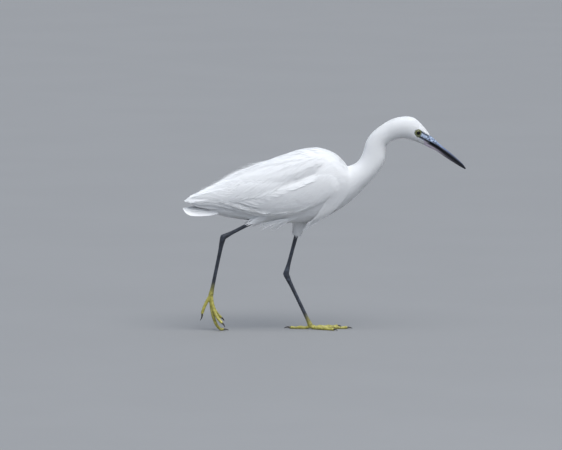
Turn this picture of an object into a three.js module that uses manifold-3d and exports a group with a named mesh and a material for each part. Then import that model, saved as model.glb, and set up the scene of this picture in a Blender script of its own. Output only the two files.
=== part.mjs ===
// Little egret, life size, wading: trunk low and level, neck in a shallow S, bill pointing
// down and ahead. The left leg carries the bird, the right leg trails and is about to lift.
// Millimetres, +Z up, the bird faces +X, its right side is -Y, and the floor is Z = 0.
import * as THREE from "three";
import { mergeVertices } from "three/addons/utils/BufferGeometryUtils.js";
import Module from "manifold-3d";

const wasm = await Module();
wasm.setup();

// ---- driving sizes ---------------------------------------------------------------------
const GAP = 0.35; // free space between neighbouring pieces
const BODY_SIDES = 22; // points round a body section
const NECK_SIDES = 18;
const EYE = { x: 161.6, y: 8.6, z: 342.0, r: 6.0 }; // eyeball centre and radius
const TARSUS_R = 3.3; // bare leg, half its thickness
const TIBIA_R = 3.7;
const ANKLE_R = 5.7;
const TOE = { middle: 62, outer: 52, inner: 45, hind: 34 }; // toe lengths without claws
const CLAW = { middle: 9, outer: 8, inner: 8, hind: 11 };

// A section of the body: top point, bottom point (X, Z in the mid plane) and half-width.
// Trunk with its folded wings, from the tail coverts to the shoulder hump.
const TRUNK = [
  [-206, 241.5, -196, 206, 13],
  [-187, 251, -169, 196, 23],
  [-158, 267.5, -134, 190.5, 31.5],
  [-127, 281, -99, 186, 38],
  [-96, 293, -66.5, 184.5, 42],
  [-65, 304.5, -35.5, 186, 43.5],
  [-35.5, 313, -4.5, 191.5, 43],
  [-9.5, 315, 25, 207, 40],
  [12.5, 308, 47, 223.5, 34],
  [27, 295, 59, 241, 25],
  [34, 284, 60, 256, 13],
];
// Neck and head, from inside the breast to the feather edge at the bill.
const NECK = [
  [-3, 284, 24.5, 209, 35],
  [19.5, 283, 49, 225, 31],
  [38.5, 281.5, 69.5, 245.5, 25.5],
  [57.5, 290, 90, 268, 20.5],
  [67.5, 308, 104, 290, 17.5],
  [71, 322, 106.5, 306.5, 16],
  [78, 335, 107, 316, 15],
  [88.5, 346, 110.5, 321.5, 14.5],
  [107, 359, 116.5, 326.5, 14.5],
  [122, 366, 126, 330, 15],
  [140.5, 369, 139, 331, 15.5],
  [153.5, 367, 150, 328, 15],
  [163, 360, 159.5, 325, 13.2],
  [174, 348, 170, 320.5, 10.4],
  [184.5, 334.8, 181, 315.5, 7.8],
];
// Folded wing, tip first: a body section, the angles from the back line between which the
// wing lies on it, and the wing's thickness there.
const WING = [
  [-240, 223.6, -239.4, 221.4, 5, 10, 150, 2.4],
  [-230, 229, -226, 214, 11.5, 12, 122, 3.2],
  [-216, 236, -208, 206, 17.5, 16, 112, 4],
  [-187, 251, -169, 196, 24, 27, 108, 5],
  [-158, 267.5, -134, 190.5, 31.5, 42, 124, 6],
  [-127, 281, -99, 186, 38, 58, 140, 6.5],
  [-96, 293, -66.5, 184.5, 42, 70, 137, 7],
  [-65, 304.5, -35.5, 186, 43.5, 76, 131, 7],
  [-35.5, 313, -4.5, 191.5, 43, 77, 125, 7],
  [-9.5, 315, 25, 207, 40, 81, 121, 6],
  [1.5, 312, 36.5, 214.5, 37.5, 88, 112, 3.6],
];
const WING_PROUD = 1.6; // how far the wing stands off the body's outline
const TAIL = [
  [-150, 232, -147, 206, 9],
  [-176, 227, -172, 200, 13],
  [-204, 219, -201, 197, 17.5],
  [-225, 213.5, -222, 199.5, 20],
  [-238, 209.5, -237, 203, 18.5],
  [-242, 207.4, -241.6, 205, 15],
];
// Bill: the upper half ends at the gape line, the lower half starts there.
const BILL_UPPER = [
  [170, 343, 167, 332.5, 6.6],
  [184.7, 334.3, 180.8, 324.4, 6.6],
  [200.3, 320.2, 196.7, 314.2, 4.7],
  [219, 305.2, 215.6, 300.4, 3.3],
  [237.4, 288.6, 235.4, 285.6, 1.8],
  [244.4, 279.3, 243.8, 278.5, 0.55],
];
const BILL_LOWER = [
  [166.6, 332, 164.6, 325, 6.2],
  [180.6, 324, 177.6, 316.8, 6.2],
  [196.5, 313.8, 193.3, 309.4, 4.3],
  [215.4, 300, 212.4, 296.2, 2.9],
  [235.1, 285.2, 233.4, 283, 1.5],
  [243.5, 278.1, 243.1, 277.6, 0.45],
];
// Planes that part the long body: a point and the direction towards the head.
const CUT_NECK_BASE = { p: [53.5, 0, 261.7], n: [0.85, 0, 0.526] };
const CUT_NECK_MID = { p: [88.6, 0, 314.2], n: [0.38, 0, 0.925] };
const CUT_NAPE = { p: [111.9, 0, 342.8], n: [0.959, 0, 0.283] };
const CUT_BILL = { p: [182.6, 0, 325], n: [0.96, 0, -0.28] };
// Leg joints: knee (hidden), end of the thigh feathers, heel joint, toe joint.
const LEG = {
  left: { knee: [-30, 21, 225], down: [-47.5, 17, 160], heel: [-64.8, 13, 95], ball: [-22.5, 9, 6.2] },
  right: { knee: [-54.5, -21, 222.5], down: [-118, -17, 190], heel: [-173, -14, 161.5], ball: [-194, -11, 61] },
};
// Plumes that hang below the outline of the breast and the flank.
const BREAST_PLUME = [
  [40, -6, 214, 3], [18, -7, 199, 6.5], [-8, -7, 184.5, 5], [-28, -6, 173.5, 3], [-38.5, -6, 168.5, 0.9],
];
const FLANK_PLUME = [
  [-40, -18, 196, 3.5], [-60, -18, 187, 5.5], [-78, -17, 177.5, 3.4], [-91, -16, 170.5, 0.9],
];

// ---- shape helpers ---------------------------------------------------------------------
const V = (x, y, z) => new THREE.Vector3(x, y, z);

// Rows of numbers joined by a smooth curve, with `steps` rows in each span.
function smooth(rows, steps) {
  const out = [];
  const at = (i) => rows[Math.max(0, Math.min(rows.length - 1, i))];
  for (let i = 0; i < rows.length - 1; i++)
    for (let k = 0; k < steps; k++) {
      const t = k / steps;
      out.push(
        rows[i].map((_, c) => {
          const [a, b, d, e] = [at(i - 1)[c], at(i)[c], at(i + 1)[c], at(i + 2)[c]];
          return 0.5 * (2 * b + (d - a) * t + (2 * a - 5 * b + 4 * d - e) * t * t + (3 * b - a - 3 * d + e) * t * t * t);
        }),
      );
    }
  out.push(rows[rows.length - 1].slice());
  return out;
}

// A point on a section at an angle from its top, grown outwards by `grow`.
function onSection([tx, tz, bx, bz, w], angle, grow = 0) {
  const cx = (tx + bx) / 2, cz = (tz + bz) / 2;
  const h = Math.hypot(tx - bx, tz - bz) / 2;
  const ux = (tx - bx) / 2 / h, uz = (tz - bz) / 2 / h;
  const c = Math.cos(angle), s = Math.sin(angle);
  const up = (h + grow) * Math.sign(c) * Math.abs(c) ** 0.94;
  const side = (w + grow) * Math.sign(s) * Math.abs(s) ** 0.9;
  return V(cx + ux * up, side, cz + uz * up);
}

// A closed body through rings of equal count, its ends closed to their middles.
function loft(rings) {
  const n = rings[0].length;
  const position = [], index = [];
  for (const ring of rings) for (const p of ring) position.push(p.x, p.y, p.z);
  for (let r = 0; r < rings.length - 1; r++)
    for (let i = 0; i < n; i++) {
      const a = r * n + i, b = r * n + ((i + 1) % n);
      index.push(a, b, a + n, b, b + n, a + n);
    }
  for (const [r, flip] of [[0, true], [rings.length - 1, false]]) {
    const mid = rings[r].reduce((m, p) => m.add(p), V(0, 0, 0)).divideScalar(n);
    const m = position.length / 3;
    position.push(mid.x, mid.y, mid.z);
    for (let i = 0; i < n; i++) {
      const a = r * n + i, b = r * n + ((i + 1) % n);
      flip ? index.push(b, a, m) : index.push(a, b, m);
    }
  }
  const g = new THREE.BufferGeometry();
  g.setAttribute("position", new THREE.Float32BufferAttribute(position, 3));
  g.setIndex(index);
  return g;
}

// Geometry to solid. Faces that point in are turned round.
function solid(geometry) {
  let g = geometry.clone();
  for (const name of Object.keys(g.attributes)) if (name !== "position") g.deleteAttribute(name);
  g = mergeVertices(g, 1e-3);
  const p = g.attributes.position.array, t = new Uint32Array(g.index.array);
  let v = 0;
  for (let i = 0; i < t.length; i += 3) {
    const [a, b, c] = [t[i], t[i + 1], t[i + 2]].map((k) => V(p[3 * k], p[3 * k + 1], p[3 * k + 2]));
    v += a.dot(b.cross(c));
  }
  if (v < 0) for (let i = 0; i < t.length; i += 3) [t[i + 1], t[i + 2]] = [t[i + 2], t[i + 1]];
  return new wasm.Manifold(new wasm.Mesh({ numProp: 3, vertProperties: p, triVerts: t }));
}

const body = (rows, sides, steps, grow = 0) =>
  solid(loft(smooth(rows, steps).map((s) =>
    Array.from({ length: sides }, (_, i) => onSection(s, (2 * Math.PI * i) / sides, grow)))));

// A round bar along points [x, y, z, radius], with blunt domed ends. `wide` widens it sideways.
function bar(points, sides = 8, steps = 1, wide = 1, dome = true) {
  const rows = smooth(points, steps);
  const line = rows.map((r) => V(r[0], r[1], r[2]));
  const rings = [];
  const ring = (c, along, r) => {
    const across = V(0, 1, 0).addScaledVector(along, -along.y).normalize();
    const up = along.clone().cross(across).normalize();
    return Array.from({ length: sides }, (_, i) => {
      const a = (2 * Math.PI * (i + 0.5)) / sides;
      return c.clone().addScaledVector(across, r * wide * Math.cos(a)).addScaledVector(up, r * Math.sin(a));
    });
  };
  rows.forEach((r, i) => {
    const along = line[Math.min(i + 1, line.length - 1)].clone().sub(line[Math.max(i - 1, 0)]).normalize();
    if (dome && i === 0) rings.push(ring(line[0].clone().addScaledVector(along, -r[3] * 0.55), along, r[3] * 0.5));
    rings.push(ring(line[i], along, r[3]));
    if (dome && i === rows.length - 1) rings.push(ring(line[i].clone().addScaledVector(along, r[3] * 0.55), along, r[3] * 0.5));
  });
  return solid(loft(rings));
}

// Folded wing as a curved slab on the body's side. side is +1 left, -1 right.
function wing(side, proud, extra) {
  const rows = smooth(WING, 2);
  if (extra) { // the space it needs: a little more on every edge
    rows.unshift(rows[0].map((v, c) => (c === 0 || c === 2 ? v - 0.8 : v)));
    const e = rows[rows.length - 1];
    rows.push(e.map((v, c) => (c === 0 || c === 2 ? v + 0.5 : v)));
  }
  const n = 7;
  return solid(loft(rows.map((r) => {
    const h = Math.hypot(r[0] - r[2], r[1] - r[3]) / 2;
    const more = extra / Math.max(2, Math.min(h, r[4]));
    const a1 = (r[5] * Math.PI) / 180 - more, a2 = (r[6] * Math.PI) / 180 + more;
    const ring = [];
    for (let i = 0; i <= n; i++) { // outer face, proud in its middle
      const t = i / n;
      ring.push(onSection(r, a1 + (a2 - a1) * t, proud * (extra ? 1 : 0.35 + 0.65 * Math.sin(Math.PI * t))));
    }
    for (let i = n; i >= 0; i--) {
      const t = i / n;
      const thick = Math.min(r[7], r[4] - 1.2) + extra;
      ring.push(onSection(r, a1 + (a2 - a1) * t, -thick * (extra ? 1 : 0.35 + 0.65 * Math.min(1, 3 * Math.sin(Math.PI * t)))));
    }
    for (const p of ring) p.y *= side;
    return ring;
  })));
}

// The side of a plane that its direction points to, or the other side, kept off by half the gap.
const beyond = (s, c) => s.trimByPlane(c.n, new THREE.Vector3(...c.p).dot(V(...c.n).normalize()) + GAP / 2);
const before = (s, c) => s.trimByPlane(c.n.map((v) => -v), -(new THREE.Vector3(...c.p).dot(V(...c.n).normalize()) - GAP / 2));

// ---- materials -------------------------------------------------------------------------
const paint = (color, roughness, metalness = 0) => new THREE.MeshStandardMaterial({ color, roughness, metalness });
const WHITE = paint(0xeef1f6, 0.75);
const BILL_DARK = paint(0x23262e, 0.35);
const IRIS = paint(0xb9b15c, 0.1);
const LEG_BLACK = paint(0x1d1f24, 0.5);
const TOE_YELLOW = paint(0x9a9a3c, 0.55);
const CLAW_DARK = paint(0x2a2723, 0.4);

const group = new THREE.Group();
function add(name, s, material) {
  const m = s.getMesh();
  const p = new Float32Array(m.numVert * 3);
  for (let i = 0; i < m.numVert; i++) p.set(m.vertProperties.subarray(i * m.numProp, i * m.numProp + 3), i * 3);
  const g = new THREE.BufferGeometry();
  g.setAttribute("position", new THREE.BufferAttribute(p, 3));
  g.setIndex(new THREE.BufferAttribute(m.triVerts.slice(), 1));
  const mesh = new THREE.Mesh(g, material);
  mesh.name = name;
  group.add(mesh);
}
// The largest of the bodies that a cut leaves.
const main = (s) => s.decompose().sort((a, b) => b.volume() - a.volume())[0];

// ---- the bird --------------------------------------------------------------------------
const SIDES = { left: 1, right: -1 };
const trunkWhole = body(TRUNK, BODY_SIDES, 2);
const neckWhole = body(NECK, NECK_SIDES, 2);
const wingSpace = [1, -1].map((s) => wing(s, 9, GAP));

// Trunk: breast, back and belly, with the beds of both wings cut in.
let trunk = before(trunkWhole.add(neckWhole), CUT_NECK_BASE);
for (const s of wingSpace) trunk = trunk.subtract(s);
trunk = main(trunk);
const trunkSpace = before(body(TRUNK, BODY_SIDES, 2, GAP).add(body(NECK, NECK_SIDES, 2, GAP)), CUT_NECK_BASE);

const eyes = Object.fromEntries(Object.entries(SIDES).map(([side, s]) => [side,
  (r) => solid(new THREE.SphereGeometry(r, 12, 8).translate(EYE.x, s * EYE.y, EYE.z))]));
let head = before(beyond(neckWhole, CUT_NAPE), CUT_BILL);
for (const side of Object.keys(SIDES)) head = head.subtract(eyes[side](EYE.r + GAP));

add("trunk", trunk, WHITE);
add("neck_lower", before(beyond(neckWhole, CUT_NECK_BASE), CUT_NECK_MID), WHITE);
add("neck_upper", before(beyond(neckWhole, CUT_NECK_MID), CUT_NAPE), WHITE);
add("head", main(head), WHITE);
add("bill_upper", main(beyond(body(BILL_UPPER, 12, 2), CUT_BILL)), BILL_DARK);
add("bill_lower", main(beyond(body(BILL_LOWER, 10, 2), CUT_BILL)), BILL_DARK);
for (const side of Object.keys(SIDES)) add("eye_" + side, eyes[side](EYE.r), IRIS);
for (const [side, s] of Object.entries(SIDES)) add("wing_" + side, wing(s, WING_PROUD, 0), WHITE);

let tail = body(TAIL, 16, 2).subtract(trunkSpace);
for (const s of wingSpace) tail = tail.subtract(s);
add("tail", main(tail), WHITE);

for (const [name, rows] of [["plume_breast", BREAST_PLUME], ["plume_flank", FLANK_PLUME]])
  add(name, main(bar(rows, 8, 1, 1.4).subtract(trunkSpace).subtract(wingSpace[1])), WHITE);

// Legs. A thigh is a feathered cone that leaves the belly, then come the bare shin, the
// heel joint, the tarsus, and four toes with claws.
const mix = (a, b, t) => a.map((v, i) => v + (b[i] - v) * t);
for (const side of Object.keys(SIDES)) {
  const { knee, down, heel, ball } = LEG[side];
  const wide = side === "left" ? 15 : 11;
  add("thigh_" + side, main(bar([
    [...knee, wide], [...mix(knee, down, 0.55), wide * 0.82], [...mix(knee, down, 0.85), 7.6], [...down, 4.9],
  ], 10, 2).subtract(trunkSpace).subtract(wingSpace[side === "left" ? 0 : 1])), WHITE);
  const thighSpace = bar([
    [...knee, wide + GAP], [...mix(knee, down, 0.55), wide * 0.82 + GAP], [...mix(knee, down, 0.85), 7.6 + GAP], [...down, 4.9 + GAP],
  ], 10, 2);
  const along = V(...heel).sub(V(...down)).normalize();
  const shin = V(...down).addScaledVector(along, 1);
  add("shin_" + side, main(bar([
    [...shin.toArray(), TIBIA_R], [...mix(down, heel, 0.5), TIBIA_R], [...mix(down, heel, 0.84), TIBIA_R + 0.7], [...mix(down, heel, 0.93), ANKLE_R - 0.6],
  ], 10).subtract(thighSpace).subtract(trunkSpace)), LEG_BLACK);
  const shinSpace = bar([
    [...shin.toArray(), TIBIA_R + GAP], [...mix(down, heel, 0.5), TIBIA_R + GAP], [...mix(down, heel, 0.84), TIBIA_R + 0.7 + GAP], [...mix(down, heel, 0.93), ANKLE_R - 0.6 + GAP],
  ], 10);
  const tarsusRows = [
    [...mix(heel, ball, -0.012), ANKLE_R], [...mix(heel, ball, 0.07), ANKLE_R - 1], [...mix(heel, ball, 0.2), TARSUS_R + 0.2],
    [...mix(heel, ball, 0.75), TARSUS_R], [...mix(heel, ball, 0.93), TARSUS_R + 0.9], [...ball, 4.9],
  ];
  const tarsus = bar(tarsusRows, 10).subtract(shinSpace).trimByPlane([0, 0, 1], 0);
  add("tarsus_" + side, main(tarsus), LEG_BLACK);
  const tarsusSpace = bar(tarsusRows.map((r) => [r[0], r[1], r[2], r[3] + GAP]), 10);

  // Toe lines from the ball of the foot: heading in degrees from +X, and height along the toe.
  const out = SIDES[side];
  const flat = side === "left";
  const lines = {
    middle: { turn: 3 * out, fall: flat ? null : [[1, 18], [3, 18.5], [6, 15], [6.5, 7], [4, 0.8]] },
    outer: { turn: 29 * out, fall: flat ? null : [[2.5, 16], [5, 15], [8, 12.5], [8, 8]] },
    inner: { turn: -31 * out, fall: flat ? null : [[2.5, 14], [5, 13], [7.5, 10], [6, 5]] },
    hind: { turn: (180 - 8) * out, fall: flat ? null : [[6, 9.5], [5, 10], [3, 9]] },
  };
  const taken = [];
  for (const [toe, line] of Object.entries(lines)) {
    const a = (line.turn * Math.PI) / 180;
    const dir = V(Math.cos(a), Math.sin(a), 0);
    const length = TOE[toe];
    const points = [];
    let clawAt, clawTo;
    const r0 = toe === "hind" ? 3.2 : 3.5, r1 = 2.5;
    if (flat) {
      // Lies on the floor: its pads are cut flat at Z = 0.
      const knobs = toe === "hind" ? [0.5, 1] : [0.36, 0.68, 1];
      points.push([ball[0], ball[1], ball[2] - 0.6, r0 + 0.6]);
      let last = 0;
      knobs.forEach((k, i) => {
        const r = r0 + (r1 - r0) * k;
        const waist = last + (k - last) * 0.5;
        for (const [at, rr] of [[waist, r * 0.88], [k, r * 1.06]]) {
          const p = V(...ball).addScaledVector(dir, length * at);
          points.push([p.x, p.y, rr * 0.86, rr]);
        }
        last = k;
      });
      const end = points[points.length - 1];
      clawAt = V(end[0], end[1], end[2]).addScaledVector(dir, end[3] * 0.6);
      clawTo = clawAt.clone().addScaledVector(dir, CLAW[toe]).setZ(0.75);
    } else {
      let p = V(...ball);
      points.push([...ball, r0 + 0.4]);
      const total = toe === "middle" ? length : line.fall.reduce((s, [f, d]) => s + Math.hypot(f, d), 0);
      let gone = 0;
      for (const [forward, drop] of line.fall) {
        p = p.clone().addScaledVector(dir, (forward * length) / total).add(V(0, 0, (-drop * length) / total));
        gone += Math.hypot(forward, drop) / total;
        const r = r0 + (r1 - r0) * gone;
        points.push([p.x, p.y, toe === "middle" ? Math.max(p.z, r * 0.8) : p.z, r]);
      }
      const end = points[points.length - 1], prev = points[points.length - 2];
      const tip = V(end[0] - prev[0], end[1] - prev[1], end[2] - prev[2]).normalize();
      if (toe === "middle") tip.z = -0.12;
      clawAt = V(end[0], end[1], end[2]).addScaledVector(tip, end[3] * 0.6);
      clawTo = clawAt.clone().addScaledVector(tip.normalize(), CLAW[toe]).add(V(0, 0, toe === "middle" ? 0 : -1.5));
      if (toe === "middle") clawTo.z = Math.max(clawTo.z, 0.7);
    }
    let s = bar(points, 8).trimByPlane([0, 0, 1], 0).subtract(tarsusSpace);
    for (const t of taken) s = s.subtract(t);
    s = main(s);
    taken.push(bar(points.map((r) => [r[0], r[1], r[2], r[3] + GAP]), 8));
    add("toe_" + toe + "_" + side, s, TOE_YELLOW);
    const middle = clawAt.clone().lerp(clawTo, 0.5).add(V(0, 0, 0.7));
    const clawRows = [[...clawAt.toArray(), 1.9], [...middle.toArray(), 1.3], [...clawTo.toArray(), 0.5]];
    add("claw_" + toe + "_" + side, main(bar(clawRows, 6, 1, 1, false).trimByPlane([0, 0, 1], 0)
      .subtract(taken[taken.length - 1])), CLAW_DARK);
  }
}

// The origin is the middle of the floor under the bird.
const box = new THREE.Box3().setFromObject(group);
group.position.set(-(box.min.x + box.max.x) / 2, -(box.min.y + box.max.y) / 2, -box.min.z);

export default group;
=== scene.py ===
"""Looks of the life-size little egret: one skin, a coat of mesh feathers, horn, eyes and claws."""
import bpy, math
import numpy as np
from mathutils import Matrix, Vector
from mathutils.bvhtree import BVHTree
from mathutils.kdtree import KDTree


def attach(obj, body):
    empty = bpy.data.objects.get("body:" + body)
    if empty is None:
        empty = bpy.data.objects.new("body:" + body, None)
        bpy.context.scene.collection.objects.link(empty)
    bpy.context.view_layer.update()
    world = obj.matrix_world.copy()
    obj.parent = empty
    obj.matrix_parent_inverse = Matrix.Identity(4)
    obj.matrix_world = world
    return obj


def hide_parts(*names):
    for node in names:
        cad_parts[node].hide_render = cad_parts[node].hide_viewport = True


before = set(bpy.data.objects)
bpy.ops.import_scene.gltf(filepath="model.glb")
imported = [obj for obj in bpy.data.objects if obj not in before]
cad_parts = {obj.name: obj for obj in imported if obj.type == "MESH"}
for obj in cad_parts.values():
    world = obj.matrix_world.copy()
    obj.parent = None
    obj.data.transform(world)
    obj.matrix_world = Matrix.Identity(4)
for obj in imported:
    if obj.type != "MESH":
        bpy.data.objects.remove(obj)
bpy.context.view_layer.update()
NODES = sorted(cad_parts)

# Lengths are millimetres in the bird's own frame (X ahead, Z up, right side -Y, floor 0). The
# row frame has its origin SHIFT further along X.
SHIFT = 1.2
TAU = 2 * math.pi

# ------------------------------------------------------------------------------ sections
# top X, Z, bottom X, Z, half-width, depth of the coat
TRUNK = [
    [-206, 241.5, -196, 206, 13, 4.0], [-187, 251, -169, 196, 23, 5.0], [-158, 267.5, -134, 190.5, 31.5, 6.0],
    [-127, 281, -99, 186, 38, 6.5], [-96, 293, -66.5, 184.5, 42, 7.0], [-65, 304.5, -35.5, 186, 43.5, 7.0],
    [-35.5, 313, -4.5, 191.5, 43, 7.0], [-9.5, 315, 25, 207, 40, 6.8], [12.5, 308, 47, 223.5, 34, 6.4],
    [27, 295, 59, 241, 25, 6.0], [34, 284, 60, 256, 13, 5.5],
]
NECK = [
    [-3, 284, 24.5, 209, 35, 6.6], [19.5, 283, 49, 225, 31, 6.2], [38.5, 281.5, 69.5, 245.5, 25.5, 5.4],
    [57.5, 290, 90, 268, 20.5, 4.6], [67.5, 308, 104, 290, 17.5, 4.0], [71, 322, 106.5, 306.5, 16, 3.7],
    [78, 335, 107, 316, 15, 3.4], [88.5, 346, 110.5, 321.5, 14.5, 3.1], [107, 359, 116.5, 326.5, 14.5, 2.8],
    [122, 366, 126, 330, 15, 2.5], [140.5, 369, 139, 331, 15.5, 2.2], [153.5, 367, 150, 328, 15, 1.9],
    [163, 360, 159.5, 325, 13.2, 1.5], [174, 348, 170, 320.5, 10.4, 1.1], [184.5, 334.8, 181, 315.5, 7.8, 0.8],
]
# the folded wing, tip first: section, angles from the back line that it spans, thickness
WING = [
    [-240, 223.6, -239.4, 221.4, 5, 10, 150, 2.4], [-230, 229, -226, 214, 11.5, 12, 122, 3.2],
    [-216, 236, -208, 206, 17.5, 16, 112, 4], [-187, 251, -169, 196, 24, 27, 108, 5],
    [-158, 267.5, -134, 190.5, 31.5, 42, 124, 6], [-127, 281, -99, 186, 38, 58, 140, 6.5],
    [-96, 293, -66.5, 184.5, 42, 70, 137, 7], [-65, 304.5, -35.5, 186, 43.5, 76, 131, 7],
    [-35.5, 313, -4.5, 191.5, 43, 77, 125, 7], [-9.5, 315, 25, 207, 40, 81, 121, 6],
    [1.5, 312, 36.5, 214.5, 37.5, 88, 112, 3.6],
]
TAIL = [
    [-150, 232, -147, 206, 9], [-176, 227, -172, 200, 13], [-204, 219, -201, 197, 17.5],
    [-225, 213.5, -222, 199.5, 20], [-238, 209.5, -237, 203, 18.5], [-242, 207.4, -241.6, 205, 15],
]
BILL_UPPER = [
    [170, 343, 167, 332.5, 6.6], [184.7, 334.3, 180.8, 324.4, 6.6], [200.3, 320.2, 196.7, 314.2, 4.7],
    [219, 305.2, 215.6, 300.4, 3.3], [237.4, 288.6, 235.4, 285.6, 1.8], [244.4, 279.3, 243.8, 278.5, 0.45],
]
BILL_LOWER = [
    [166.6, 332, 164.6, 325, 6.2], [180.6, 324, 177.6, 316.8, 6.2], [196.5, 313.8, 193.3, 309.4, 4.3],
    [215.4, 300, 212.4, 296.2, 2.9], [235.1, 285.2, 233.4, 283, 1.5], [243.5, 278.1, 243.1, 277.6, 0.4],
]
EYE = {"x": 161.6, "y": 8.6, "z": 342.0, "r": 6.0}
LEG = {
    "left": {"side": 1, "knee": (-30, 21, 225), "down": (-47.5, 17, 160), "heel": (-64.8, 13, 95), "ball": (-22.5, 9, 6.2)},
    "right": {"side": -1, "knee": (-54.5, -21, 222.5), "down": (-118, -17, 190), "heel": (-173, -14, 161.5), "ball": (-194, -11, 61)},
}
TOE_LENGTH = {"middle": 62, "outer": 52, "inner": 45, "hind": 34}
CLAW_LENGTH = {"middle": 9, "outer": 8, "inner": 8, "hind": 11}


def smooth(rows, steps):
    r = np.array(rows, float)
    n, out = len(r), []
    for i in range(n - 1):
        a, b, c, d = r[max(i - 1, 0)], r[i], r[i + 1], r[min(i + 2, n - 1)]
        for k in range(steps):
            t = k / steps
            out.append(0.5 * (2 * b + (c - a) * t + (2 * a - 5 * b + 4 * c - d) * t * t + (3 * b - a - 3 * c + d) * t ** 3))
    out.append(r[-1])
    return np.array(out)


# folds that the coat makes on the sides, in side view: X, Z, depth, reach above, reach below
VALLEY = np.array([[2, 296, 0.0, 5, 5], [-5, 289, 2.0, 7, 5], [-12, 279, 5.4, 9, 4.5], [-19, 270.5, 8.0, 10, 3.6],
                   [-40, 261, 5.6, 11, 4.2], [-68, 252, 3.6, 12, 5], [-100, 243, 1.8, 12, 6], [-140, 232, 0.0, 10, 6]])
UNDERWING = np.array([[16, 236, 0.0, 2, 8], [3, 226, 2.0, 2, 9], [-20, 213.5, 2.9, 2, 9], [-42, 204.3, 3.3, 2, 8], [-61, 200.6, 3.3, 2, 7],
                      [-88, 196.9, 3.1, 2, 6], [-116, 200.2, 3.3, 2, 6], [-143, 207.6, 3.3, 2, 6], [-172, 216, 2.8, 2, 6], [-200, 220, 2.0, 2, 5]])


def folds(x, z):
    """How far the coat is drawn in at points in side view."""
    total = np.zeros(np.broadcast(x, z).shape)
    for line in (VALLEY, UNDERWING):
        best = np.full(total.shape, 1e9)
        here = np.zeros(total.shape)
        for a, b in zip(line[:-1], line[1:]):
            dx, dz = b[0] - a[0], b[1] - a[1]
            t = np.clip(((x - a[0]) * dx + (z - a[1]) * dz) / (dx * dx + dz * dz), 0, 1)
            ex, ez = x - a[0] - t * dx, z - a[1] - t * dz
            d = np.hypot(ex, ez)
            up = ez > 0
            row = a[2:] + t[..., None] * (b - a)[2:]
            w = row[..., 0] * np.exp(-((d / np.where(up, row[..., 1], row[..., 2])) ** 2))
            closer = d < best
            best = np.where(closer, d, best)
            here = np.where(closer, w, here)
        total = np.maximum(total, here)
    return total


def section(rows, ang, grow=0.0):
    """Points on sections at angles from their tops, grown outwards."""
    tx, tz, bx, bz, w = (rows[..., i] for i in range(5))
    cx, cz = (tx + bx) / 2, (tz + bz) / 2
    h = np.hypot(tx - bx, tz - bz) / 2
    ux, uz = (tx - bx) / 2 / h, (tz - bz) / 2 / h
    c, s = np.cos(ang), np.sin(ang)
    up = np.maximum(h + grow, 0.2) * np.sign(c) * np.abs(c) ** 0.94
    side = np.maximum(w + grow, 0.2) * np.sign(s) * np.abs(s) ** 0.9
    return np.stack(np.broadcast_arrays(cx + ux * up, side, cz + uz * up), -1)


def unit(v):
    return v / np.maximum(np.linalg.norm(v, axis=-1, keepdims=True), 1e-9)


# ---------------------------------------------------------------------------- mesh helpers
def mesh_from(name, V, F, uvs=None, attrs=None, slots=None, smooth_shade=True):
    """A mesh from points in millimetres and equal-sided faces."""
    V, F = np.asarray(V, float), np.asarray(F, np.int32)
    me = bpy.data.meshes.new(name)
    co = V.copy()
    co[:, 0] -= SHIFT
    me.vertices.add(len(V))
    me.vertices.foreach_set("co", (co * 0.001).astype(np.float32).ravel())
    k, m = F.shape
    me.loops.add(k * m)
    me.loops.foreach_set("vertex_index", F.ravel())
    me.polygons.add(k)
    me.polygons.foreach_set("loop_start", np.arange(0, k * m, m, dtype=np.int32))
    if slots is not None:
        me.polygons.foreach_set("material_index", np.asarray(slots, np.int32))
    me.update(calc_edges=True)
    me.polygons.foreach_set("use_smooth", np.full(k, smooth_shade))
    for uv_name, uv in (uvs or {}).items():
        layer = me.uv_layers.new(name=uv_name)
        layer.data.foreach_set("uv", np.asarray(uv, np.float32)[F.ravel()].ravel())
    for attr, value in (attrs or {}).items():
        a = me.attributes.new(attr, "FLOAT", "POINT")
        a.data.foreach_set("value", np.asarray(value, np.float32))
    return me


def object_from(name, me, materials):
    o = bpy.data.objects.new(name, me)
    bpy.context.scene.collection.objects.link(o)
    for m in materials:
        me.materials.append(m)
    return o


def points_of(me):
    co = np.zeros(len(me.vertices) * 3, np.float32)
    me.vertices.foreach_get("co", co)
    p = co.reshape(-1, 3).astype(float) * 1000
    p[:, 0] += SHIFT
    return p


def set_points(me, p):
    co = p.copy()
    co[:, 0] -= SHIFT
    me.vertices.foreach_set("co", (co * 0.001).astype(np.float32).ravel())
    me.update()


def loft(rings):
    """Closed body through rings [r, n, 3], as quads, its ends closed by fans of thin quads."""
    rings = np.asarray(rings, float)
    r, n, _ = rings.shape
    V = rings.reshape(-1, 3)
    F = []
    for a in range(r - 1):
        for i in range(n):
            j = (i + 1) % n
            F.append((a * n + i, a * n + j, (a + 1) * n + j, (a + 1) * n + i))
    V = np.vstack([V, rings[0].mean(0), rings[-1].mean(0)])
    T = [(c[0], c[1], c[2]) for c in F] + [(c[0], c[2], c[3]) for c in F]
    for i in range(n):
        j = (i + 1) % n
        T.append((j, i, r * n))
        T.append(((r - 1) * n + i, (r - 1) * n + j, r * n + 1))
    T = np.array(T)
    a, b, c = V[T[:, 0]], V[T[:, 1]], V[T[:, 2]]
    if np.einsum("ij,ij->i", a, np.cross(b, c)).sum() < 0:
        T = T[:, ::-1]
    return V, T


def joined(parts):
    V, F, at = [], [], 0
    for v, f in parts:
        V.append(v)
        F.append(np.asarray(f) + at)
        at += len(v)
    return np.vstack(V), np.vstack(F)


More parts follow.
